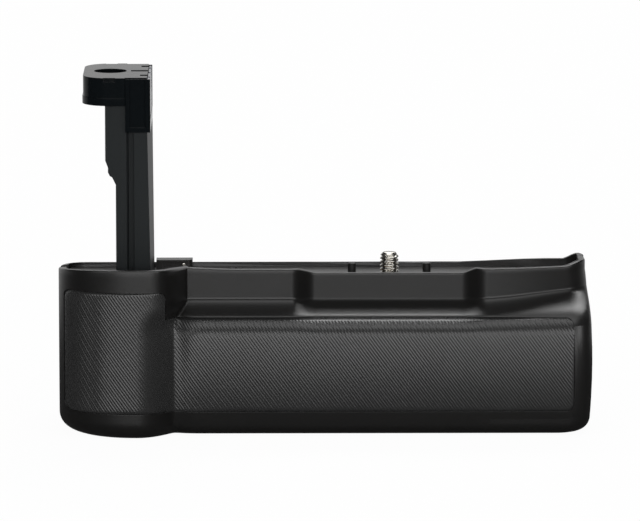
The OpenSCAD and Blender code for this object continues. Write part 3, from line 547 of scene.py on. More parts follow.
@dataclass
class FrontShell:
    """Moulded front half of the housing, with its rim, the skin's pocket and the tray's mouth."""

    form: HousingForm
    outline: SkinOutline
    pocket: float = 0.95
    edge: float = 0.14
    rim_round: float = 0.55
    strip_columns: int = 8
    low_rows: int = 16
    pocket_rows: int = 6
    high_rows: int = 30
    gap: float = 0.12
    lip: float = 0.08
    hair: float = 1e-3
    base_power: float = 1.7
    mouth_columns: int = 60
    mouth_gap: float = 0.4
    mouth_lining: float = 0.5

    def stations(self) -> tuple[Array, Array]:
        """Stations from left to right, and which of them lie in the skin's pocket.

        Returns:
            The stations and a mask of those in the pocket.
        """
        f, o = self.form, self.outline
        left, right = o.left - self.gap, o.right + self.gap
        hair = self.hair
        outside_left = ease_ends(-f.reach_left, left, 14)
        outside_left = np.append(outside_left, left - hair)
        inside = np.concatenate(
            [
                np.linspace(left, left + o.corner, 10)[:-1],
                np.linspace(left + o.corner, f.nose_x, 40)[:-1],
                np.linspace(f.nose_x, o.notch - o.corner, 20)[:-1],
                np.linspace(o.notch - o.corner, o.notch - hair, 10),
                np.linspace(o.notch + hair, f.flank_x + 4, 30)[:-1],
                np.linspace(f.flank_x + 4, f.mid_left - f.step_left_run - 1, 12)[:-1],
                np.linspace(f.mid_left - f.step_left_run - 1, f.mid_left + 1, 28)[:-1],
                np.linspace(f.mid_left + 1, f.mid_right - 1, 16)[:-1],
                np.linspace(f.mid_right - 1, f.mid_right + f.step_right_run + 2, 30)[:-1],
                np.linspace(f.mid_right + f.step_right_run + 2, right - o.corner, 14)[:-1],
                np.linspace(right - o.corner, right, 10),
            ]
        )
        turn = np.sin(np.linspace(0.0, math.pi / 2, 26))[1:]
        outside_right = right + hair + (f.reach_right - right - hair) * np.concatenate([[0.0], turn])
        every = np.concatenate([outside_left, inside, outside_right])
        mask = np.zeros(len(every), bool)
        mask[len(outside_left) : len(outside_left) + len(inside)] = True
        return every, mask

    def rows(self, s: float, pocketed: bool) -> tuple[Array, Array]:
        """Heights and depths down one station, from the base up to the shoulder.

        Args:
            s: Station.
            pocketed: Whether the skin's pocket crosses this station.

        Returns:
            Heights, and depths below the surface.
        """
        o, e = self.outline, self.edge
        low, high = float(o.base(s)), float(o.top(s))
        sunk = self.pocket if pocketed else 0.0
        soft = 1.0 if pocketed else 0.0
        bottom = (low - e) * np.linspace(0.0, 1.0, self.low_rows) ** self.base_power
        shoulder = self.form.shoulder_z
        upper = high + e + (shoulder - high - e) * np.linspace(0.0, 1.0, self.high_rows)
        inside = np.linspace(low, high, self.pocket_rows)
        heights = np.concatenate([bottom, [low - 0.3 * e, low], inside, [high, high + 0.3 * e], upper])
        depths = np.concatenate(
            [
                np.zeros(self.low_rows),
                [self.lip * soft, e * soft],
                np.full(self.pocket_rows, sunk),
                [e * soft, self.lip * soft],
                np.zeros(self.high_rows),
            ]
        )
        return heights, depths

    def build(self) -> bpy.types.Object:
        """Makes the shell.

        Returns:
            The shell's object.
        """
        f = self.form
        every, mask = self.stations()
        columns = []
        for s, pocketed in zip(every, mask):
            z, depth = self.rows(float(s), bool(pocketed))
            x = f.station_x(s, z)
            columns.append(f.on_front(x, z, depth))
        share = np.linspace(0.0, 1.0, self.strip_columns + 1)[:-1, None]
        first, last = columns[0], columns[-1]
        strips = []
        for end in (first, last):
            y = mix(f.split_y, end[:, 1][None, :], share)
            strip = np.repeat(end[None, :, :], self.strip_columns, axis=0)
            strip[:, :, 1] = y
            strips.append(strip)
        outside = np.concatenate([strips[0], np.array(columns), strips[1][::-1]])
        stations = np.concatenate(
            [np.full(self.strip_columns, every[0]), every, np.full(self.strip_columns, every[-1])]
        )
        net = np.concatenate([self.base_row(outside), outside, self.rim_rows(outside, stations)], axis=1)
        made = Grid(net).mesh("front_shell_form", self.mouth_mask(net))
        self.line_mouth(made)
        return made

    def base_row(self, outside: Array) -> Array:
        """Row that closes the flat base back to the parting plane.

        Args:
            outside: Outer net.

        Returns:
            One more row below the net.
        """
        row = outside[:, :1, :].copy()
        row[:, :, 1] = self.form.split_y
        return row

    def rim_rows(self, outside: Array, stations: Array) -> Array:
        """Rows over the rounded rim and down its inside to the deck.

        Args:
            outside: Outer net, whose last row is the shoulder.
            stations: Station of each column.

        Returns:
            The further rows.
        """
        f, r = self.form, self.rim_round
        shoulder = f.shoulder_z
        x = f.station_x(stations, f.rim_plan_z)
        y = f.front_y(x, f.rim_plan_z)
        inner_x = f.station_x(stations, f.inner_z, f.wall)
        inner_y = f.front_y(inner_x, f.inner_z) + f.wall * f.slant(inner_x, f.inner_z)
        strip = self.strip_columns
        for part, end in ((slice(0, strip), strip), (slice(-strip, None), -strip - 1)):
            y[part] = outside[part, -1, 1]
            inner_y[part] = np.maximum(y[part], inner_y[end])
        top = f.rim_z(x, y)
        inner_y = np.minimum(inner_y, f.split_y)
        rows = []
        turn = np.linspace(0.0, math.pi / 2, 5)
        for lift in np.linspace(0.0, 1.0, 4)[1:-1]:
            rows.append((0.0, shoulder + (top - r - shoulder) * lift))
        for angle in turn:
            rows.append((r / f.wall * (1 - math.cos(angle)), top - r + r * math.sin(angle)))
        for angle in turn[::-1]:
            rows.append((1.0 - r / f.wall * (1 - math.cos(angle)), top - r + r * math.sin(angle)))
        rows.append((1.0, np.full_like(top, f.deck_z - 0.6)))
        return np.stack(
            [np.stack([mix(x, inner_x, t), mix(y, inner_y, t), z], axis=-1) for t, z in rows], axis=1
        )

    def mouth_box(self) -> tuple[float, float, float, float]:
        """Edges of the tray's mouth, from the end cap's solid.

        Returns:
            Front, lower and upper edge, and how far in its lining ends.
        """
        low, high = (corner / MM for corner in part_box("tray_end_cap"))
        gap = self.mouth_gap
        return low.y - gap, low.z - gap, high.z + gap, low.x - self.mouth_lining

    def mouth_mask(self, net: Array) -> Array:
        """Marks the quads that the tray's mouth leaves standing.

        Args:
            net: Whole net; points at the mouth's edges are moved on to them.

        Returns:
            Mask of the quads to keep.
        """
        front, low, high, _ = self.mouth_box()
        count = self.mouth_columns
        heights = net[-1, :, 2]
        last = self.base_rows_end(heights)
        first_row = int(np.argmin(np.abs(heights[:last] - low)))
        last_row = int(np.argmin(np.abs(heights[:last] - high)))
        net[-count:, first_row, 2] = low
        net[-count:, last_row, 2] = high
        at_mouth = net[:, (first_row + last_row) // 2, :]
        right = np.arange(len(net)) > len(net) - count
        edge = int(np.argmin(np.where(right, np.abs(at_mouth[:, 1] - front), np.inf)))
        net[edge, first_row : last_row + 1, 1] = front
        keep = np.ones((net.shape[0] - 1, net.shape[1] - 1), bool)
        keep[edge:, first_row:last_row] = False
        return keep

    def base_rows_end(self, heights: Array) -> int:
        """Number of rows below the shoulder."""
        return int(np.argmax(heights >= self.form.shoulder_z))

    def line_mouth(self, shell: bpy.types.Object) -> None:
        """Gives the mouth's edge its thickness, back into the housing.

        Args:
            shell: Object whose mesh has the open mouth.
        """
        front, low, high, back = self.mouth_box()
        shape = bmesh.new()
        shape.from_mesh(shell.data)
        slack = 0.02
        rim = []
        for edge in shape.edges:
            points = [v.co / MM for v in edge.verts]
            inside = all(
                p.x > back and p.y > front - slack and low - slack < p.z < high + slack for p in points
            )
            if inside and edge.is_boundary and not all(abs(p.y - self.form.split_y) < slack for p in points):
                rim.append(edge)
        grown = bmesh.ops.extrude_edge_only(shape, edges=rim)["geom"]
        for vert in (g for g in grown if isinstance(g, bmesh.types.BMVert)):
            vert.co.x = back * MM
        bmesh.ops.recalc_face_normals(shape, faces=shape.faces)
        shape.to_mesh(shell.data)
        shape.free()
        shell.data.polygons.foreach_set("use_smooth", [True] * len(shell.data.polygons))
        shell.data.set_sharp_from_angle(angle=math.radians(38))


@dataclass
class GripSkin:
    """Rubber skin with slanting moulded ribs, in two patches that meet at the step."""

    form: HousingForm
    outline: SkinOutline
    sink: float = 0.12
    pitch: float = 1.74
    angle: float = 53.5
    main_height: float = 0.12
    fine_height: float = 0.09
    samples: int = 12
    along: int = 34
    border: float = 0.55
    skirt: float = 0.7
    proud: float = 0.04
    halvings: int = 36

    def __post_init__(self) -> None:
        """Measures the length along the front surface, so that ribs keep their pitch round the column."""
        x = np.linspace(self.outline.left - 1.0, self.outline.right + 1.0, 4000)
        y = self.form.front_y(x, self.form.swell_z)
        run = np.hypot(np.diff(x), np.diff(y))
        self.table_x = x
        self.table_a = np.concatenate([[0.0], np.cumsum(run)])

    def arc(self, x: Any) -> Array:
        """Length along the surface at x."""
        return np.interp(x, self.table_x, self.table_a)

    def at_arc(self, a: Any) -> Array:
        """x at a length along the surface."""
        return np.interp(a, self.table_a, self.table_x)

    def rib(self, p: Any) -> Array:
        """Height of the ribs at a distance across them.

        Args:
            p: Distance across the ribs.

        Returns:
            Height above the ground between them.
        """
        phase = (np.asarray(p) / self.pitch) % 1.0
        main = np.maximum(0.0, np.cos((phase - 0.5) * 2 * math.pi)) ** 2.0
        fine = np.maximum(0.0, np.cos(phase * 2 * math.pi)) ** 2.0
        return self.main_height * main + self.fine_height * fine

    def patch(self, name: str, left: float, right: float, top: Callable[[Any], Array]) -> bpy.types.Object:
        """One patch of the skin, as strips that run along the ribs.

        Args:
            name: Name of the object.
            left: Left edge.
            right: Right edge.
            top: Upper edge as a function of x.

        Returns:
            The patch's object.
        """
        f, o = self.form, self.outline
        slope = math.radians(self.angle)
        sin, cos = math.sin(slope), math.cos(slope)
        a_left, a_right = float(self.arc(left)), float(self.arc(right))
        z_low, z_high = o.low, float(np.max(top(np.linspace(left, right, 40))))
        step = self.pitch / self.samples
        first = a_left * sin + z_low * cos
        last = a_right * sin + z_high * cos
        p = np.arange(math.ceil(first / step), math.floor(last / step) + 1) * step

        def inside(z: Array) -> Array:
            """Whether each line is within the outline at its height z."""
            a = (p - z * cos) / sin
            x = self.at_arc(a)
            return (a >= a_left) & (a <= a_right) & (z >= o.base(x)) & (z <= top(x))

        low = np.maximum(z_low, (p - a_right * sin) / cos)
        high = np.minimum(z_high, (p - a_left * sin) / cos)
        middle = (low + high) / 2
        good = inside(middle)
        ends = []
        for limit in (low - 2.0, high + 2.0):
            near, far = middle.copy(), limit.copy()
            for _ in range(self.halvings):
                half = (near + far) / 2
                hit = inside(half)
                near, far = np.where(hit, half, near), np.where(hit, far, half)
            ends.append(near)
        p, low, high = p[good], ends[0][good], ends[1][good]
        return self.strips(name, p, low, high, (sin, cos))

    def strips(
        self, name: str, p: Array, low: Array, high: Array, turn: tuple[float, float]
    ) -> bpy.types.Object:
        """Mesh of one patch from the ends of its lines.

        Args:
            name: Name of the object.
            p: Distance of each line across the ribs.
            low: Lower end of each line.
            high: Upper end of each line.
            turn: Sine and cosine of the ribs' slope.

        Returns:
            The patch's object.
        """
        sin, cos = turn
        share = np.concatenate([[0.0, 0.0], np.linspace(0.0, 1.0, self.along), [1.0, 1.0]])
        z = low[:, None] + (high - low)[:, None] * share[None, :]
        x = self.at_arc((p[:, None] - z * cos) / sin)
        o = self.outline
        from_end = np.minimum(z - low[:, None], high[:, None] - z) * sin
        fade = ramp(from_end, 0.0, self.border)
        depth = self.sink + self.main_height - self.rib(p)[:, None] * fade - self.proud * fade
        soft = np.zeros(len(share))
        soft[[0, -1]] = self.skirt
        edge = np.tile(soft, (len(p), 1))
        for column, z_end in ((0, low), (-1, high)):
            x_end = x[:, column]
            inner = (np.abs(x_end - o.notch) < 0.05) & (z_end < o.high_bar - 0.05)
            edge[inner, column] = 0.0
            span = slice(0, 6) if column == 0 else slice(-6, None)
            full = self.sink + self.main_height - self.rib(p)[:, None] - self.proud
            depth[inner, span] = np.repeat(full, 6, axis=1)[inner]
        return Grid(self.form.on_front(x, z, depth + edge)).mesh(name)

    def build(self) -> list[bpy.types.Object]:
        """Makes both patches.

        Returns:
            The patches' objects.
        """
        o = self.outline
        return [
            self.patch("grip_skin_column", o.left, o.notch, o.top_column),
            self.patch("grip_skin_bar", o.notch, o.right, o.top_bar),
        ]


@dataclass
class CameraScrew:
    """Camera screw with a rolled thread, a plain shank and a thrust collar, in millimetres."""

    crest_r: float = 3.175
    root_r: float = 2.5
    pitch: float = 1.27
    shank_r: float = 2.9
    collar_r: float = 6.0
    around: int = 64
    per_pitch: int = 10
    chamfer: float = 0.55

    def build(self) -> bpy.types.Object:
        """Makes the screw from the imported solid's height.

        Returns:
            The screw's object.
        """
        low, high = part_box("mount_screw")
        wheel_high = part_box("thumb_wheel")[1].z / MM
        bracket_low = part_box("mount_bracket")[0].z / MM
        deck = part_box("deck_plate")[1].z / MM
        bottom, top = low.z / MM, high.z / MM
        start = deck + 0.1
        rows = [
            (0.01, bottom), (self.shank_r - 0.2, bottom), (self.shank_r, bottom + 0.2),
            (self.shank_r, wheel_high + 0.05), (self.collar_r - 0.15, wheel_high + 0.05),
            (self.collar_r, wheel_high + 0.2), (self.collar_r, bracket_low - 0.2),
            (self.collar_r - 0.15, bracket_low - 0.06), (self.shank_r, bracket_low - 0.06),
            (self.shank_r, start - 0.2), (self.root_r, start),
        ]
        theta = np.linspace(0.0, 2 * math.pi, self.around + 1)
        plain = np.array([[[r * math.cos(t), r * math.sin(t), z] for r, z in rows] for t in theta])
        turns = np.arange(-self.per_pitch, math.ceil((top - start) / self.pitch + 1) * self.per_pitch + 1)
        z = start + self.pitch * (turns[None, :] / self.per_pitch + theta[:, None] / (2 * math.pi))
        wave = np.abs(((turns / self.per_pitch) % 1.0) - 0.5) * 2.0
        form = np.clip((wave - 0.12) / 0.62, 0.0, 1.0)
        r = np.tile(self.root_r + (self.crest_r - self.root_r) * form, (len(theta), 1))
        flat = np.clip(z, start, top)
        r = np.minimum(r, self.root_r - self.chamfer + (top - flat) * 0.9 + 0.25)
        r = np.minimum(r, self.root_r + (flat - start) * 0.9)
        thread = np.stack([r * np.cos(theta)[:, None], r * np.sin(theta)[:, None], flat], axis=-1)
        tip = np.zeros((len(theta), 1, 3))
        tip[:, :, 2] = top
        return Grid(np.concatenate([plain, thread, tip], axis=1)).mesh("camera_screw_turned")


class Edge(Enum):
    """How far the edges of a carried-over solid are broken, in millimetres."""

    FINE = 0.12
    SOFT = 0.3
    NONE = 0.0


@dataclass(frozen=True)
class Refined:
    """A CAD solid shown with broken edges and clean shading."""

    node: str
    body: str
    edge: Edge
    sharp_deg: float = 34.0

    def build(self) -> bpy.types.Object:
        """Copies the node's shape, joins its flats and breaks its edges.

        Returns:
            The refined object.
        """
        source = frame["nodes"][self.node]
        shape = bmesh.new()
        shape.from_mesh(source.data)
        bmesh.ops.remove_doubles(shape, verts=shape.verts, dist=2e-6)
        limit = math.radians(0.6)
        bmesh.ops.dissolve_limit(
            shape, angle_limit=limit, verts=shape.verts, edges=shape.edges, delimit={"NORMAL"}
        )
        if self.edge is not Edge.NONE:
            sharp = [
                e for e in shape.edges
                if len(e.link_faces) == 2 and e.calc_face_angle(0.0) > math.radians(self.sharp_deg)
            ]
            bmesh.ops.bevel(
                shape, geom=sharp, offset=self.edge.value * MM, offset_type="OFFSET", segments=2,
                profile=0.5, affect="EDGES", clamp_overlap=True,
            )
        data = bpy.data.meshes.new(self.node + "_refined")
        shape.to_mesh(data)
        shape.free()
        made = link(self.node + "_refined", data)
        data.set_sharp_from_angle(angle=math.radians(self.sharp_deg))
        normals = made.modifiers.new("flat_faces_first", "WEIGHTED_NORMAL")
        normals.keep_sharp = True
        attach(made, self.body)
        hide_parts(self.node)
        return made


def to_linear(code: str) -> tuple[float, float, float, float]:
    """Turns an sRGB hex code into a linear colour.

    Args:
        code: Colour such as "#1c1c1c".

    Returns:
        Red, green, blue and alpha.
    """
    parts = [int(code[i : i + 2], 16) / 255 for i in (1, 3, 5)]
    red, green, blue = (c / 12.92 if c <= 0.04045 else ((c + 0.055) / 1.055) ** 2.4 for c in parts)
    return red, green, blue, 1.0


def add_node(
    tree: bpy.types.NodeTree,
    kind: str,
    settings: dict[str, Any] | None = None,
    inputs: dict[Any, Any] | None = None,
) -> bpy.types.Node:
    """Adds a shader node with its settings, values and links.

    Args:
        tree: Tree to add to.
        kind: Blender's type name of the node.
        settings: Properties of the node.
        inputs: Value or source socket of each input.

    Returns:
        The node.
    """
    made = tree.nodes.new(kind)
    for key, value in (settings or {}).items():
        setattr(made, key, value)
    for key, value in (inputs or {}).items():
        if isinstance(value, bpy.types.NodeSocket):
            tree.links.new(value, made.inputs[key])
        else:
            made.inputs[key].default_value = value
    return made


class Pattern(Enum):
    """How a surface was made, which sets the pattern of its relief."""

    ERODED = "eroded mould"
    MOULDED = "polished mould"
    TURNED = "turned on a lathe"
    ROLLED = "rolled or stamped"


@dataclass(frozen=True)
class Finish:
    """One material: what it is, how its surface was made and what that gives the eye."""

    name: str
    colour: str
    second: str
    roughness: float
    metallic: float = 0.0
    specular: float = 0.5
    pattern: Pattern = Pattern.MOULDED
    grain_mm: float = 0.25
    relief: float = 0.15
    blotch_mm: float = 14.0

    def build(self) -> bpy.types.Material:
        """Makes the procedural material.

        Returns:
            The material.
        """
        made = bpy.data.materials.new(self.name)
        made.use_nodes = True
        tree = made.node_tree
        tree.nodes.clear()
        place = add_node(tree, "ShaderNodeTexCoord").outputs["Object"]
        if self.pattern in (Pattern.TURNED, Pattern.ROLLED):
            stretch = (1.0, 1.0, 14.0) if self.pattern is Pattern.TURNED else (0.12, 1.0, 1.0)
            stretched = add_node(tree, "ShaderNodeMapping", inputs={"Vector": place, "Scale": stretch})
            place = stretched.outputs["Vector"]
        detail = 3.0 if self.pattern is Pattern.ERODED else 1.0
        grain = add_node(
            tree, "ShaderNodeTexNoise",
            inputs={"Vector": place, "Scale": 1.0 / (self.grain_mm * MM), "Detail": detail},
        )
        blotch = add_node(
            tree, "ShaderNodeTexNoise",
            inputs={"Vector": place, "Scale": 1.0 / (self.blotch_mm * MM), "Detail": 2.0},
        )
        tint = add_node(
            tree, "ShaderNodeMix", {"data_type": "RGBA"},
            {"Factor": blotch.outputs["Fac"], "A": to_linear(self.colour), "B": to_linear(self.second)},
        )
        spread = add_node(
            tree, "ShaderNodeMapRange",
            inputs={
                "Value": grain.outputs["Fac"], "From Min": 0.3, "From Max": 0.7,
                "To Min": self.roughness * 0.88, "To Max": min(1.0, self.roughness * 1.12),
            },
        )
        bump = add_node(
            tree, "ShaderNodeBump",
            inputs={
                "Strength": self.relief, "Distance": self.grain_mm * MM * 0.35,
                "Height": grain.outputs["Fac"],
            },
        )
        shader = add_node(
            tree, "ShaderNodeBsdfPrincipled",
            inputs={
                "Base Color": tint.outputs["Result"], "Roughness": spread.outputs["Result"],
                "Metallic": self.metallic, "Specular IOR Level": self.specular,
                "Normal": bump.outputs["Normal"],
            },
        )
        add_node(tree, "ShaderNodeOutputMaterial", inputs={"Surface": shader.outputs["BSDF"]})
        return made


# Each finish is named for the real material and how its surface came about. The grain of a mould is
# a few hundredths of a millimetre, and is drawn as coarse as it needs to be to show.
FINISHES = {
    # Black ABS from a spark-eroded mould: a soft sheen that breaks up into fine grain.
    "moulded_shell": Finish(
        "abs_spark_eroded_black", "#101010", "#141312", 0.34, specular=0.45, pattern=Pattern.ERODED,
        grain_mm=0.16, relief=0.25,
    ),
    # Smooth black ABS: an even satin sheen on the deck.
    "deck_plastic": Finish(
        "abs_satin_black", "#1a1918", "#1f1e1c", 0.3, pattern=Pattern.ERODED, grain_mm=0.3,
        relief=0.3,
    ),
    # Moulded rubber: dull grey on the ribs, with the bloom that handling leaves.
    "ribbed_rubber": Finish(
        "rubber_moulded_ribs", "#222222", "#282828", 0.26, specular=0.5, pattern=Pattern.ERODED,
        grain_mm=0.12, relief=0.15, blotch_mm=9.0,
    ),
    # Glass-filled nylon tower: dark with a cold cast and a satin skin.
    "tower_plastic": Finish(
        "nylon_filled_satin", "#171a1b", "#1b1e1f", 0.44, specular=0.12, pattern=Pattern.ERODED,
        grain_mm=0.2, relief=0.2,
    ),
    # Polished ABS: near-black mirror gloss.
    "gloss_black": Finish(
        "abs_polished_black", "#090c0e", "#0c0f11", 0.12, specular=0.08, grain_mm=2.5, relief=0.03,
    ),
    # Acrylic plate beside the contacts, polished: clear reflections on pale grey.
    "smoked_plate": Finish(
        "acrylic_polished_grey", "#6e7176", "#75777c", 0.2, grain_mm=2.5, relief=0.03,
    ),
    # Gold over nickel over brass, stamped: warm yellow glints.
    "gold_plated_brass": Finish(
        "brass_gold_plated", "#d9b15a", "#cfa650", 0.22, metallic=1.0, pattern=Pattern.ROLLED,
        grain_mm=0.3, relief=0.05,
    ),
    # Polyimide film over copper: amber and glossy.
    "flex_film": Finish("polyimide_film", "#9a5a1c", "#8a4e16", 0.3, grain_mm=1.2, relief=0.05),
    # Black oxide on steel screws: a dull dark gleam.
    "black_steel": Finish(
        "steel_black_oxide", "#1e1e1e", "#262524", 0.4, metallic=0.6, grain_mm=0.2, relief=0.12,
    ),
    # Bright nickel on a turned screw: sharp streaks round the thread.
    "nickel_steel": Finish(
        "steel_nickel_plated", "#cfccc6", "#c4c1ba", 0.2, metallic=1.0, pattern=Pattern.TURNED,
        grain_mm=0.4, relief=0.05,
    ),
    # Nylon thumb wheel and key, moulded: matt black.
    "wheel_plastic": Finish(
        "nylon_moulded_black", "#191919", "#1e1e1d", 0.45, pattern=Pattern.ERODED, grain_mm=0.2,
        relief=0.2,
    ),
    # Zinc on stamped or turned steel: grey with faint streaks.
    "bare_steel": Finish(
        "steel_zinc_plated", "#a9a9a6", "#9d9d9a", 0.32, metallic=1.0, pattern=Pattern.ROLLED,
        grain_mm=0.25, relief=0.08,
    ),
    # Brass from the lathe: yellow with fine rings.
    "turned_brass": Finish(
        "brass_turned", "#b8923f", "#a98537", 0.28, metallic=1.0, pattern=Pattern.TURNED,
        grain_mm=0.3, relief=0.08,
    ),
    # Inner mouldings of ABS, less finished than the outside: dull dark grey.
    "inner_plastic": Finish(
        "abs_inner_black", "#262628", "#2b2b2d", 0.5, pattern=Pattern.ERODED, grain_mm=0.25,
        relief=0.2,
    ),
    # Solder mask over copper and glass cloth: deep green and smooth.
    "circuit_board": Finish(
        "board_solder_mask", "#1c4a2c", "#174025", 0.35, grain_mm=0.8, relief=0.06,
    ),
    # Powder coat on steel: fine orange peel.
    "base_metal": Finish(
        "steel_powder_coat", "#242424", "#292929", 0.48, pattern=Pattern.ERODED, grain_mm=0.45,
        relief=0.25,
    ),
}


@dataclass
class Wardrobe:
    """Finishes of every piece, by the record's material slots."""

    made: dict[str, bpy.types.Material] = field(default_factory=dict)
    slots: dict[str, str] = field(default_factory=dict)

    def __post_init__(self) -> None:
        """Reads which slot each node has."""
        self.slots = {row["node"]: row["material_slot"] for row in frame["record"]["subparts"]}

    def dress(self, piece: bpy.types.Object, slot: str) -> None:
        """Gives a piece its finish.

        Args:
            piece: Object to dress.
            slot: The record's material slot.
        """
        if slot not in self.made:
            self.made[slot] = FINISHES[slot].build()
        piece.data.materials.clear()
        piece.data.materials.append(self.made[slot])
        LOG.info("%s: %s, %d faces", piece.name, slot, len(piece.data.polygons))

    def dress_node(self, piece: bpy.types.Object, node: str) -> None:
        """Gives a piece the finish of a CAD node.

        Args:
            piece: Object to dress.
            node: Name of the node.
        """
        self.dress(piece, self.slots[node])


@dataclass(frozen=True)
class Lamp:
    """A soft rectangular lamp that faces the grip; its place and size in metres, its power in watts."""

    name: str
    at: tuple[float, float, float]
    size: tuple[float, float]
    power: float

    def build(self) -> None:
        """Hangs the lamp and turns it to the grip's middle."""
        data = bpy.data.lights.new(self.name, "AREA")
        data.shape = "RECTANGLE"
        data.size, data.size_y = self.size
        data.energy = self.power
        made = bpy.data.objects.new(self.name, data)
        made.location = self.at
        aim = Vector(GRIP_MIDDLE) - Vector(self.at)
        made.rotation_mode = "QUATERNION"
        made.rotation_quaternion = aim.to_track_quat("-Z", "Y")
        bpy.context.scene.collection.objects.link(made)


GRIP_MIDDLE = (-0.02, 0.0, 0.04)
LAMPS = (
    Lamp("key_front", (0.05, -2.3, 0.5), (2.4, 1.2), 30.0),
    Lamp("overhead", (0.0, -0.3, 2.0), (1.6, 1.2), 12.0),
    Lamp("fill_back", (0.2, 1.7, 2.0), (2.0, 1.0), 36.0),
    Lamp("fill_left", (-1.6, -1.5, 0.8), (0.9, 0.9), 8.0),
    Lamp("fill_right", (1.6, -1.5, 0.8), (0.9, 0.9), 12.0),
)


